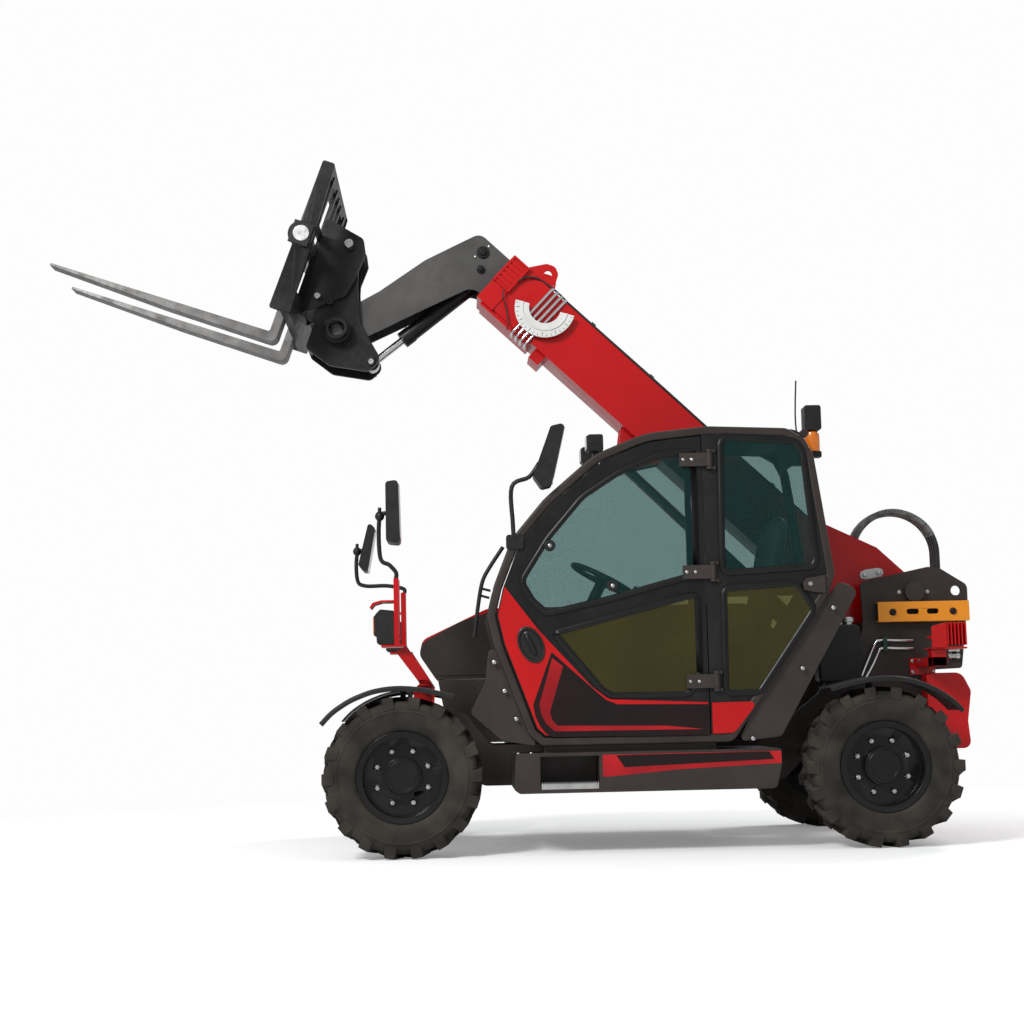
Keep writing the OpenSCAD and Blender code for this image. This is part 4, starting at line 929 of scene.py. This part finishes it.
# door: dark band with a bright chevron, oval handle, strap bolts, glass fasteners
door = {"face": -938.2, "band": [(784, 1043), (682, 772), (692, 712), (716, 660), (746, 622), (784, 604),
                                 (1598, 597),
                                 (1598, 757), (1119, 766), (1062, 790), (1020, 826)],
        "chevron": [(786, 1012), (714, 772), (722, 726), (744, 678), (790, 634), (1564, 629), (1378, 650),
                    (806, 662),
                    (780, 690), (768, 734), (842, 968)],
        "handle": (678, 1083), "size": (64, 100), "turn": 24,
        "dish": [(1, -2), (1, 7), (0.94, 10), (0.84, 9), (0.78, 1.5), (0.5, 1), (0.3, 1)],
        "grip": [(-26, 4, 58), (-18, 16, 36), (0, 19, 0), (16, 14, -34), (20, 6, -44)], "gripR": 11,
        "strapBolts": (1502, 1548), "strapZs": (875, 1445, 2040), "strapFace": -954.4,
        "buttons": [(788, 1599), (1112, 1382)], "paneFace": -936.4}


def oval(work, centre, size, turn, rings, y):
    turn = math.radians(turn)
    loops = []
    for share, out in rings:
        loop = []
        for t in turns(48):
            u, v = size[0] * share * math.cos(t), size[1] * share * math.sin(t)
            x = centre[0] + u * math.cos(turn) - v * math.sin(turn)
            z = centre[1] + u * math.sin(turn) + v * math.cos(turn)
            loop.append(work.verts.new(at(x, y - out, z)))
        loops.append(loop)
    skin(work, loops, False)
    work.faces.new(loops[-1])


def makeDoor(face, band, chevron, handle, size, turn, dish, grip, gripR, strapBolts, strapZs, strapFace,
             buttons, paneFace):
    sheet("doorBand", band, (face - 0.5, face), "stripeDark", "door")
    sheet("doorChevron", chevron, (face - 1, face - 0.55), "stripeRed", "door")
    work = bmesh.new()
    oval(work, handle, size, turn, dish, face)
    bend = [at(handle[0] + x, face - out, handle[1] + z) for x, out, z in grip]
    tube(work, smoothPath(bend), gripR)
    piece("doorHandle", work, "blackPlastic", "door")
    bolts, pads = bmesh.new(), bmesh.new()
    hexBolt(bolts, bend[0], leftward, 9)
    for z in strapZs:
        for x in strapBolts:
            domeBolt(bolts, at(x, strapFace, z), leftward, 9)
    for x, z in buttons:
        lathe(pads, [(30, 0), (30, 5), (26, 8), (12, 8)], at(x, paneFace, z), leftward)
        domeBolt(bolts, at(x, paneFace - 8, z), leftward, 11)
    piece("doorBolts", bolts, "zincSteel", "door")
    piece("glassPads", pads, "blackPlastic", "door")


makeDoor(**door)

# cab outside: bolts on the leg panels, latch plate on the rear corner, wiper
cabTrim = {"boltsAt": [(485, 997), (536, 847), (593, 702), (1821, 574), (2095, 932), (2270, 1245)],
           "boltFace": -930,
           "latch": [(2118, 1340), (2112, 1376), (2130, 1402), (2232, 1418), (2232, 1322), (2160, 1330)],
           "latchY": (-946, -938), "latchBolt": (2152, 1372), "wiperY": -860,
           "wiper": [(384, 1129), (409, 1305), (433, 1423), (472, 1497), (545, 1604)],
           "brackets": [(454, 1379), (447, 1342)], "reach": 21}


def makeCabTrim(boltsAt, boltFace, latch, latchY, latchBolt, wiperY, wiper, brackets, reach):
    bolts = bmesh.new()
    for x, z in boltsAt:
        domeBolt(bolts, at(x, boltFace, z), leftward, 12)
    hexBolt(bolts, at(latchBolt[0], latchY[0], latchBolt[1]), leftward, 10)
    piece("cabBolts", bolts, "zincSteel", "chassis")
    sheet("cabLatch", latch, latchY, "darkPaint", "chassis", 2)
    work = bmesh.new()
    tube(work, smoothPath([at(x, wiperY, z) for x, z in wiper]), 11)
    for x, z in brackets:
        tube(work, [at(x - reach, wiperY, z + 6), at(x + reach, wiperY, z - 6)], 7)
    piece("wiper", work, "blackPlastic", "chassis")


makeCabTrim(**cabTrim)

# skirt: dark band in a red frame, bolts on the top edge, teeth and a saw edge on the step
skirt = {"face": -945.3, "red": [(1034, 509), (1962, 509), (1962, 446), (1419, 425), (1086, 397),
                                 (1034, 396)],
         "dark": [(1105, 504), (1900, 507), (1926, 467), (1147, 442)], "boltXs": (600, 666), "boltY": -920,
         "boltZ": 523,
         "toothRow": (726, 1004, 16), "toothCol": (-935, -770, 6), "toothZ": 342,
         "kerb": (716, 1012, -944.5, -936, 337, 364), "saws": 26, "sawFirst": 718, "sawPitch": 11.5,
         "saw": [(0, 363), (7, 363), (3.5, 376)], "sawY": (-944.5, -938)}


def spaced(lo, hi, count):
    return [lo + (hi - lo) * i / (count - 1) for i in range(count)]


def makeSkirt(face, red, dark, boltXs, boltY, boltZ, toothRow, toothCol, toothZ, kerb, saws, sawFirst,
              sawPitch, saw, sawY):
    sheet("skirtStripe", red, (face - 0.5, face), "stripeRed", "chassis")
    sheet("skirtBand", dark, (face - 1, face - 0.55), "stripeDark", "chassis")
    teeth = bmesh.new()
    for x in spaced(*toothRow):
        for y in spaced(*toothCol):
            lathe(teeth, [(8, -1), (6, 6), (3, 9), (2.4, 6), (0, 6)], at(x, y, toothZ), upward, 8)
    block(teeth, *kerb)
    for i in range(saws):
        plate(teeth, [(sawFirst + i * sawPitch + x, z) for x, z in saw], *sawY)
    for x in boltXs:
        domeBolt(teeth, at(x, boltY, boltZ), upward, 10)
    piece("stepTeeth", teeth, "zincSteel", "chassis", 0, (), "aluminium")


makeSkirt(**skirt)
print("cab outside made")

# front lamps on their arms with guards and visors, roof lamps, rear lamp box and aerial
lampArm = {"mid": 560, "half": 75, "armHalf": 30, "arm": (-39, 156, 560, 1104), "rise": 890, "shelf": 30,
           "side": 290,
           "armShares": [(0, 94.5, 1.5), (30.8, 100, 1.5), (73.8, 75.7, 1.8), (100, 60.7, 3.7),
                         (91.8, 0, 0.7),
                         (40.5, 0, 0.7), (45.6, 60.7, 5.5), (69.7, 60.7, 5.5)],
           "guardX": (-44, -16), "guardZ": (1101, 1467), "bar": 26, "baseX": (-114, 21),
           "baseZ": (1098, 1110),
           "visor": (-175, -44, 1274, 1350),
           "visorShares": [(0, 48.7, 3.9), (13, 84.2, 26.3), (48.9, 100, 26.3), (100, 100, 1.3),
                           (100, 86.8, 1.3),
                           (52.7, 86.8, 15.8), (19.1, 71.1, 15.8), (6.1, 42.1, 1.3)],
           "lamp": (-147, -44.3, 1113.3, 1302),
           "lampShares": [(9.8, 0, 8), (0, 84.1, 10.2), (27.5, 100, 10.2), (100, 95.5, 3.4), (100, 0, 3.4)],
           "roofYs": (-780, -340), "roof": (1010, 2112, 1094, 2204, 12), "roofHalf": 50,
           "foot": (1037, 1067), "footHalf": 30, "footZ": (2060, 2117),
           "rear": (2220, 2238, 2312, 2376, 14), "rearY": (-646, -554), "bracket": (2215, 2310),
           "bracketZ": (2090, 2122),
           "bracketYs": (-600, -300), "aerial": [(2266, -300, 2105), (2240, -300, 2330), (2251, -300, 2580)]}


def makeFrontLamps(f):
    red, black = bmesh.new(), bmesh.new()
    arm = rounded(inBox(f["armShares"], *f["arm"]))
    x0, x1, z0, z1 = f["arm"]
    low, high = f["guardZ"]
    gx0, gx1 = f["guardX"]
    rise, side, half = f["rise"], f["side"], f["half"]
    for s in bothSides:
        y = s * f["mid"]
        plate(red, clip(arm, rect(x0, rise, x1, z1)), y - f["armHalf"], y + f["armHalf"])
        plate(red, clip(arm, rect(x0, rise, x1, rise + f["shelf"])), s * side, y + s * f["armHalf"])
        plate(red, clip(arm, rect(x0, z0, x1, rise + f["shelf"])), s * side, s * (side + 2 * f["armHalf"]))
        block(red, *f["baseX"], y - half - 3, y + half + 3, *f["baseZ"])
        for e in bothSides:
            block(red, gx0, gx1, *sorted((y + e * half, y + e * (half - f["bar"]))), low, high)
        for z in ((low + high - f["bar"]) / 2, high - f["bar"]):
            block(red, gx0 + 2, gx1 - 2, y - half + 2, y + half - 2, z - 1, z + f["bar"] - 1)
        plate(red, rounded(inBox(f["visorShares"], *f["visor"])), y - half, y + half)
        plate(black, rounded(inBox(f["lampShares"], *f["lamp"])), y - half + 5, y + half - 5)
    piece("lampArms", red, "redPaint", "chassis", 2, ("front_lamps",))
    for y in f["roofYs"]:
        plate(black, softRect(*f["roof"]), y - f["roofHalf"], y + f["roofHalf"])
        block(black, *f["foot"], y - f["footHalf"], y + f["footHalf"], *f["footZ"])
    for y in f["bracketYs"]:
        block(black, *f["bracket"], y - f["footHalf"], y + f["footHalf"], *f["bracketZ"])
    plate(black, softRect(*f["rear"]), *f["rearY"])
    tube(black, smoothPath([at(*q) for q in f["aerial"]]), 4.5)
    piece("lampBodies", black, "blackPlastic", "chassis", 2)


makeFrontLamps(lampArm)

# lenses with bezels, the beacon's dome
lampForm = {"front": (-146, 560, 1215), "tail": (2942, 600, 980), "roofX": 1009, "roofYs": (-780, -340),
            "roofZ": 2158,
            "beacon": (2266, -600, 2122)}


def lens(work, rim, place, out, half, tall, thick):
    turn = along(place, out)
    for target, grow, low, high in ((rim, 7, -4, thick * 0.6), (work, 0, -3, thick)):
        corners = [(sx * (half + grow), sy * (tall + grow)) for sx,
                   sy in ((-1, -1), (1, -1), (1, 1), (-1, 1))]
        base = [target.verts.new(turn @ (Vector((u, v, low)) * mm)) for u, v in corners]
        top = [target.verts.new(turn @ (Vector((u * 0.94, v * 0.94, high)) * mm)) for u, v in corners]
        skin(target, [base, top])


def makeLamps(front, tail, roofX, roofYs, roofZ, beacon):
    clear, amber, red, rims = bmesh.new(), bmesh.new(), bmesh.new(), bmesh.new()
    for s in bothSides:
        lens(amber, rims, at(front[0], s * front[1], front[2]), -rearward, 42, 50, 12)
        lens(red, rims, at(tail[0], s * tail[1], tail[2]), rearward, 32, 30, 10)
    for y in roofYs:
        lens(clear, rims, at(roofX, y, roofZ), -rearward, 38, 34, 8)
    lathe(amber, [(41, 0), (41, 84), (38, 104), (28, 114), (0, 118)], at(*beacon), upward)
    for name, work, mat in (("clearLenses", clear, "clearLens"), ("amberLenses", amber, "amberLens"),
                            ("redLenses", red, "redLens"), ("lampRims", rims, "blackPlastic")):
        piece(name, work, mat, "chassis", 1.5)


makeLamps(**lampForm)

# mirrors: heads on bent arms, silvered faces, ball joints
mirror = {"headsAt": [([(-78, 1660), (-78, 1985), (-10, 1994), (-2, 1650)], -622, 90),
                      ([(-302, 1645), (-236, 1909), (-196, 1868), (-249, 1581)], 622, 90),
                      ([(708, 1967), (806, 2229), (885, 2247), (805, 1913), (752, 1901)], -917, 58)],
          "arms": [([(-30, 1467), (-30, 1500), (-64, 1540), (-114, 1585), (-114, 1800), (-60, 1818)], -622),
                   ([(-30, 1467), (-30, 1500), (-134, 1521), (-267, 1523), (-313, 1564), (-312, 1717),
                     (-262, 1745)], 622),
                   ([(604, 1600), (598, 1720), (597, 1917), (689, 1967), (744, 2040)], -917)],
          "clamp": (560, 1585, 650, 1660, 14), "clampY": (-945, -905), "corner": 20, "bar": 12,
          "faces": [((-9, 1980), (-3, 1666), -622, 78), ((-199, 1852), (-246, 1597), 622, 78),
                    ((881, 2230), (808, 1926), -917, 46)],
          "ballsAt": [(-114, -622, 1806), (-312, 622, 1735)],
          "ball": [(0, -26), (16, -22), (24, -10), (26, 0), (24, 10), (16, 22), (10, 26), (10, 44), (8, 48),
                   (0, 48)]}


def makeMirrors(headsAt, arms, clamp, clampY, corner, bar, faces, ballsAt, ball):
    heads = bmesh.new()
    for corners, y, half in headsAt:
        plate(heads, rounded([(x, z, corner) for x, z in corners]), y - half, y + half)
    for points, y in arms:
        tube(heads, smoothPath([at(x, y, z) for x, z in points]), bar)
    plate(heads, softRect(*clamp), *clampY)
    piece("mirrorHeads", heads, "blackPlastic", "chassis", 8, ("mirrors",))
    silver = bmesh.new()
    for (x1, z1), (x0, z0), y, half in faces:
        p0, p1 = at(x0, y, z0), at(x1, y, z1)
        rise = (p1 - p0).normalized()
        tall = (p1 - p0).length / 2
        outline = []
        for t in turns(32):
            c, s = math.cos(t), math.sin(t)
            reach = (abs(c) ** 6 + abs(s) ** 6) ** (-1 / 6)
            outline.append((p0 + p1) / 2 + across(half * reach * c) + rise * tall * reach * s)
        slab(silver, outline, Vector((rise.z, 0, -rise.x)) * 0.004)
    piece("mirrorFaces", silver, "mirrorSilver", "chassis", 0.8)
    balls = bmesh.new()
    for p in ballsAt:
        lathe(balls, ball, at(*p), upward, 24)
    piece("mirrorBalls", balls, "blackPlastic", "chassis")


makeMirrors(**mirror)
print("lamps and mirrors made")

# boom front: sling plates, slotted cover, shoe and stop, crossing pipes and long pipes
boomEnd = {"top": -60, "bottom": -375, "half": 140, "sling": (2698, 2897, -70, 63), "slingYs": (-120, 100),
           "slingThick": 20, "hole": (2770, 0, 23), "cover": (2862, 2982, -166, -246, -60), "slots": 6,
           "slotWide": 12,
           "slingShares": [(100, 0, 0.8), (59.8, 83.5, 22.6), (35.2, 100, 30.1), (13.1, 82.7, 22.6),
                           (0, 41.4, 15),
                           (3.5, 0, 0.8)],
           "shoe": (2575, 2945, 120, 25), "stop": (2453, 2527, 100, 63), "pipes": 4, "pipeFirst": 2584,
           "pipePitch": 34,
           "pipe": 9, "pipeEnd": -60, "longYs": (-96, -56), "long": (640, 2572), "longR": 11}


def boomBlock(work, u0, u1, y0, y1, n0, n1):
    slab(work, [onBoom(u, y0, n) for u, n in rect(u0, n0, u1, n1)], across(y1 - y0))


def boomRing(work, outer, hole, y0, y1):
    rings = []
    for y in (y0, y1):
        rings.append([work.verts.new(onBoom(u, y, n)) for u, n in outer])
        rings.append([work.verts.new(onBoom(u, y, n)) for u, n in hole])
    connect(work, rings[0], rings[2])
    connect(work, rings[1], rings[3])
    for a, b in ((0, 1), (2, 3)):
        edges = []
        for loop in (rings[a], rings[b]):
            edges += [work.edges.get((v, loop[(i + 1) % len(loop)])) for i, v in enumerate(loop)]
        bmesh.ops.triangle_fill(work, use_beauty=True, edges=edges)


def makeBoomEnd(e):
    red = bmesh.new()
    outer = thinned(rounded(inBox(e["slingShares"], *e["sling"])))
    hu, hn, hr = e["hole"]
    hole = [(hu + hr * math.cos(t), hn + hr * math.sin(t)) for t in turns(24)]
    for y in e["slingYs"]:
        boomRing(red, outer, hole, y, y + e["slingThick"])
    u0, u1, y0, n0, n1 = e["cover"]
    boomBlock(red, u0, u1, y0 + 9, -e["half"] + 4, n0, n1)
    step = (n1 - n0) / e["slots"]
    half = (step - e["slotWide"]) / 2
    for i in range(e["slots"] + 1):
        mid = n0 + i * step
        boomBlock(red, u0 + 6, u1 - 6, y0 + 2, y0 + 10, max(n0 + 3, mid - half), min(n1 - 3, mid + half))
    for u in (u0 - 1, u1 - 13):
        boomBlock(red, u, u + 14, y0, y0 + 12, n0 - 1, n1 + 1)
    for a, b, wide, thick in (e["shoe"], e["stop"]):
        boomBlock(red, a, b, -wide, wide, e["bottom"] - thick, e["bottom"] + 2)
    piece("boomFront", red, "redPaint", "boom", 3)
    pipes = bmesh.new()
    r, end = e["pipe"], e["pipeEnd"]
    side = -e["half"] - r - 0.5
    over, under = e["top"] + r, e["bottom"] - e["shoe"][3] - r
    bend = 2 * r
    path = [(end, over), (side + bend, over), (side + bend * 0.3, over - bend * 0.3), (side, over - bend),
            (side, under + bend), (side + bend * 0.3, under + bend * 0.3), (side + bend, under),
            (end, under)]
    for i in range(e["pipes"]):
        tube(pipes, [onBoom(e["pipeFirst"] + i * e["pipePitch"], y, n) for y, n in path], r, 16)
    for y in e["longYs"]:
        rod(pipes, *(onBoom(u, y, e["top"] + e["longR"]) for u in e["long"]), e["longR"])
    piece("boomPipes", pipes, "chrome", "boom")


makeBoomEnd(boomEnd)

# angle dial: half ring on two posts, with ticks and a raised rib
dial = {"place": (2641, -184.2, -172), "lean": 17, "inner": 92, "outer": 176, "rib": (128, 136), "postR": 13,
        "postAt": 134,
        "posts": (-155, -25), "count": 19, "tickIn": 146, "tickShort": 12, "tickOut": 170, "tickHalf": 1.2}


def makeDial(place, lean, inner, outer, rib, postR, postAt, posts, count, tickIn, tickShort, tickOut,
             tickHalf):
    hub = onBoom(*place)
    lean = math.radians(lean)
    ex = Vector((math.cos(lean), 0, -math.sin(lean)))
    ez = Vector((math.sin(lean), 0, math.cos(lean)))

    def ray(t):
        return ex * math.cos(t) + ez * math.sin(t)

    def halfRing(r0, r1, steps):
        arcs = [[hub + ray(math.pi + math.pi * i / steps) * r * mm for i in range(steps + 1)]
                for r in (r0, r1)]
        return arcs[0] + arcs[1][::-1]

    disc = bmesh.new()
    slab(disc, halfRing(inner, outer, 60), -leftward * 0.016)
    for angle in posts:
        p = hub + ray(math.radians(angle)) * postAt * mm
        rod(disc, p - leftward * 0.01, p - leftward * 0.044, postR)
    piece("angleDial", disc, "whitePaint", "boom", 3)
    ticks = bmesh.new()
    for i in range(count):
        t = math.pi + math.pi * (i + 0.5) / count
        wide = ray(t + math.pi / 2) * tickHalf * mm
        start = tickIn if i % 3 == 1 else tickIn + tickShort
        a, c = hub + ray(t) * start * mm, hub + ray(t) * tickOut * mm
        slab(ticks, [a - wide, c - wide, c + wide, a + wide], leftward * 0.0006)
    piece("dialTicks", ticks, "blackPlastic", "boom")
    ring = bmesh.new()
    slab(ring, halfRing(*rib, 40), leftward * 0.005)
    piece("dialRib", ring, "whitePaint", "boom", 1)


# boom lines: two long cables, two short ones at the end, clamps, keeper plate of the pivot pin
lines = {"span": (640, 2580, 120), "long": [(-124, 4, 170, 8), (-110, 3, 130, 6)], "n": -50,
         "short": [(6, [(2560, -124, -50), (2640, -132, -46), (2720, -128, -50), (2800, -148, -70),
                        (2850, -160, -120),
                        (2862, -165, -160)]),
                   (4, [(2890, -170, -250), (2860, -172, -290), (2800, -160, -330), (2740, -160, -380),
                        (2720, -150, -412)])],
         "clampUs": (2376, 1920, 1450, 980), "clampY": (-112, -40), "clampN": (-58, -32), "clampHalf": 15,
         "keeper": [(2604, 1471), (2612, 1492), (2636, 1502), (2706, 1512), (2736, 1504), (2742, 1482),
                    (2728, 1462),
                    (2640, 1447), (2612, 1452)], "keeperY": (-148.3, -140.3),
         "keeperBolts": [(2634, 1475), (2712, 1486)]}


def makeBoomLines(span, long, n, short, clampUs, clampY, clampN, clampHalf, keeper, keeperY, keeperBolts):
    cables, clamps, bolts = bmesh.new(), bmesh.new(), bmesh.new()
    for y, swing, wave, r in long:
        tube(cables, smoothPath([onBoom(u, y + swing * math.sin(u / wave), n) for u in range(*span)], 3), r)
    for r, points in short:
        tube(cables, smoothPath([onBoom(*p) for p in points]), r)
    piece("boomCables", cables, "hoseRubber", "boom")
    for u in clampUs:
        boomBlock(clamps, u - clampHalf, u + clampHalf, *clampY, *clampN)
        hexBolt(bolts, onBoom(u, sum(clampY) / 2, clampN[1]), boomUp, 7)
    piece("boomClamps", clamps, "clampGreen", "boom", 2)
    sheet("pivotKeeper", keeper, keeperY, "whitePaint", "boom", 2)
    for x, z in keeperBolts:
        hexBolt(bolts, at(x, keeperY[0], z), leftward, 13)
    piece("boomBolts", bolts, "zincSteel", "boom", 0.6)


makeDial(**dial)
makeBoomLines(**lines)

# neck and carriage: pin heads, the pivot's tube ends, blocks round the fork shaft
headForm = {"neckPins": [(484, 3405, 36), (470, 3303, 24)], "neckBolts": [(440, 3380), (520, 3440)],
            "neckFace": 115,
            "pivotY": 190, "tubeLong": 48, "tubeOut": 66, "tubeIn": 42, "collar": 80,
            "pins": [(-292, 3448, 26), (-476, 3142, 18), (-172, 2752, 17)], "pinFace": 190,
            "blockHalf": (58, 66.7), "blockY": (547, 556)}


def makeHead(neckPins, neckBolts, neckFace, pivotY, tubeLong, tubeOut, tubeIn, collar, pins, pinFace,
             blockHalf, blockY):
    dark, silver, ends, heads, blocks = (bmesh.new() for kind in range(5))
    shaft = middle("fork_shaft")
    for s in bothSides:
        out = Vector((0, s, 0))
        for x, z, r in neckPins:
            lathe(dark, [(r, -2), (r, 8), (r - 3, 11), (r * 0.62, 11), (r * 0.58, 20), (r * 0.45, 23),
                         (0, 23)],
                  at(x, s * neckFace, z), out)
        for x, z in neckBolts:
            domeBolt(silver, at(x, s * neckFace, z), out, 8)
        p = Vector((headAt.x, s * pivotY * mm, headAt.z))
        lathe(ends, [(tubeOut, -2), (tubeOut, tubeLong - 6), (tubeOut - 6, tubeLong), (tubeIn + 4, tubeLong),
                     (tubeIn, tubeLong - 4), (tubeIn, 2)], p, out, 48)
        lathe(ends, [(collar, -2), (collar, 10), (tubeOut, 14)], p, out, 48)
        for x, z, r in pins:
            lathe(heads, [(r, -2), (r, 9), (r - 4, 13), (r * 0.4, 13), (r * 0.35, 10), (0, 10)],
                  at(x, s * pinFace, z), out)
        a, b = forkAhead * blockHalf[0] * mm, forkUp * blockHalf[1] * mm
        middleAt = Vector((shaft.x, s * blockY[0] * mm, shaft.z))
        slab(blocks, [middleAt + a * u + b * v for u, v in rect(-1, -1, 1, 1)],
             across(s * (blockY[1] - blockY[0])))
    piece("neckPins", dark, "blackPaint", "inner_boom", 1)
    piece("neckBolts", silver, "zincSteel", "inner_boom")
    piece("pivotEnds", ends, "blackPaint", "carriage", 1)
    piece("carriagePins", heads, "zincSteel", "carriage")
    piece("shaftBlocks", blocks, "blackPaint", "carriage", 4)


makeHead(**headForm)

# hose loop from the tower's shelf over to the boom, in a ribbed sleeve
hoseLoop = {"foot": (3083, 1341), "centre": (2838, 1600), "r": 245, "ys": (-42, 0, 42), "hose": 18,
            "sleeve": (25, 158)}


def makeHoses(foot, centre, r, ys, hose, sleeve):
    cx, cz = centre
    hoses, sleeves = bmesh.new(), bmesh.new()

    def bow(y, angles):
        return [at(cx + r * math.cos(math.radians(t)), y, cz + r * math.sin(math.radians(t)))
                for t in angles]

    for y in ys:
        rise = [at(foot[0], y, foot[1] + (cz - foot[1]) * i / 6) for i in range(6)]
        tube(hoses, rise + bow(y, range(0, 181, 5)), hose)
        tube(sleeves, bow(y, [t / 2 for t in range(sleeve[0] * 2, sleeve[1] * 2, 3)]), hose + 0.6, 12, 1.4)
    ends = (at(foot[0], 0, foot[1]), at(cx - r, 0, cz))
    for name, work, mat in (("hoses", hoses, "hoseRubber"), ("hoseSleeves", sleeves, "greySleeve")):
        obj = piece(name, work, mat, None, 0, ("hose_loop",))
        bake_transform(obj)


makeHoses(**hoseLoop)
print("boom made")

# boom prop: a channel with slots, on two bolts
prop = {"sides": (2650, 1192, 3166, 1304), "y": (-350, -290), "wall": 8,
        "slots": [(2811, 2880), (2926, 2991)],
        "slotHalf": 15, "boltsAt": [(2733, 1246), (3073, 1246)]}


def makeProp(sides, y, wall, slots, slotHalf, boltsAt):
    work, bolts = bmesh.new(), bmesh.new()
    x0, z0, x1, z1 = sides
    mid = (z0 + z1) / 2
    holes = [softRect(a, mid - slotHalf, b, mid + slotHalf, slotHalf - 1) for a, b in slots]
    holedPlate(work, rect(*sides), holes, y[0], y[0] + wall)
    for z in (z0, z1 - wall):
        block(work, x0, x1, y[0] + wall, y[1], z, z + wall)
    piece("boomProp", work, "yellowPaint", "chassis", 2, ("safety_prop",))
    for x, z in boltsAt:
        hexBolt(bolts, at(x, y[0], z), leftward, 17)
    piece("propBolts", bolts, "blackPaint", "chassis", 1)


# rear: tank, pipes with clamps and couplers, lamp arms under finned guards
rear = {"face": 290, "base": (2827, 895, 2970, 988), "baseY": (290.2, 302),
        "baseBolts": [(2842, 972), (2955, 972), (2842, 910), (2955, 910)],
        "capBolts": [(2790, 1361), (2950, 1361)],
        "couplers": [(3050, 1032), (3050, 996)],
        "coupler": [(0, -5), (17, -5), (17, 14), (14, 16), (14, 34), (17, 36), (17, 56), (12, 60), (0, 60)],
        "filler": (2472, -355, 1180),
        "cap": [(0, -2), (28, -2), (28, 14), (38, 16), (38, 36), (34, 42), (12, 44), (0, 44)],
        "tank": (2290, 860, 2530, 1180, 30), "tankY": (-420, -290.3), "clamps": [(2692, 1072), (3032, 1008)],
        "clampHalf": (12, 42), "clampY": (-313, -290), "pipeY": -299, "pipeR": 8,
        "pipes": [[(2546, 884), (2600, 1000), (2640, 1078), (2664, 1093), (2760, 1091), (2850, 1088)],
                  [(2574, 883), (2620, 960), (2658, 1032), (2680, 1048), (2770, 1046), (2850, 1043)],
                  [(2980, 1010), (3000, 1026), (3020, 1032), (3045, 1032)],
                  [(2980, 985), (3000, 993), (3020, 996), (3045, 996)]],
        "arm": [(2860, 935, 2940, 985, 290, 640), (2860, 935, 2940, 1025, 560, 640)],
        "guard": (2853, 1025, 3044, 1035),
        "guardY": (520, 680), "rail": (2853, 1085, 3044, 1097), "railY": (580, 595), "fins": 6,
        "finAt": 2938,
        "finPitch": 19.5, "finWide": 9, "finZ": (1045, 1168), "shieldY": (680, 670),
        "shield": [(2853, 1025, 6), (2853, 1150, 20), (2936, 1168, 12), (2936, 1025, 6)]}


def makeRear(r):
    silver = bmesh.new()
    for s in bothSides:
        out = Vector((0, s, 0))
        for x, z in r["baseBolts"]:
            domeBolt(silver, at(x, s * r["baseY"][1], z), out, 11)
        for x, z in r["capBolts"]:
            hexBolt(silver, at(x, s * r["face"], z), out, 10)
    for x, z in r["couplers"]:
        lathe(silver, r["coupler"], at(x, r["pipeY"] - 6, z), rearward, 20)
    lathe(silver, r["cap"], at(*r["filler"]), upward, 16)
    piece("rearBolts", silver, "zincSteel", "chassis", 0.6)
    pipes = bmesh.new()
    for points in r["pipes"]:
        tube(pipes, smoothPath([at(x, r["pipeY"], z) for x, z in points]), r["pipeR"])
    piece("rearPipes", pipes, "chrome", "chassis")
    sheet("rearTank", softRect(*r["tank"]), r["tankY"], "blackPlastic", "chassis", 14)
    clamps = bmesh.new()
    hx, hz = r["clampHalf"]
    for x, z in r["clamps"]:
        plate(clamps, rect(x - hx, z - hz, x + hx, z + hz), *r["clampY"])
    piece("pipeClamps", clamps, "clampGreen", "chassis", 3)
    red = bmesh.new()
    finXs = [r["finAt"] + i * r["finPitch"] for i in range(r["fins"])]
    sheets = [(rect(*r["base"]), r["baseY"])] + [(rect(*a[:4]), a[4:]) for a in r["arm"]]
    sheets += [(rect(*r["guard"]), r["guardY"]), (rounded(r["shield"]), r["shieldY"])]
    sheets += [(rect(x, r["finZ"][0], x + r["finWide"], r["finZ"][1]), r["guardY"]) for x in finXs]
    sheets += [(rect(*r["rail"]), r["railY"])]
    for s in bothSides:
        for outline, (y0, y1) in sheets:
            plate(red, outline, s * y0, s * y1)
    piece("rearLampArms", red, "redPaint", "chassis", 2)


makeProp(**prop)
makeRear(rear)
print("rear made")
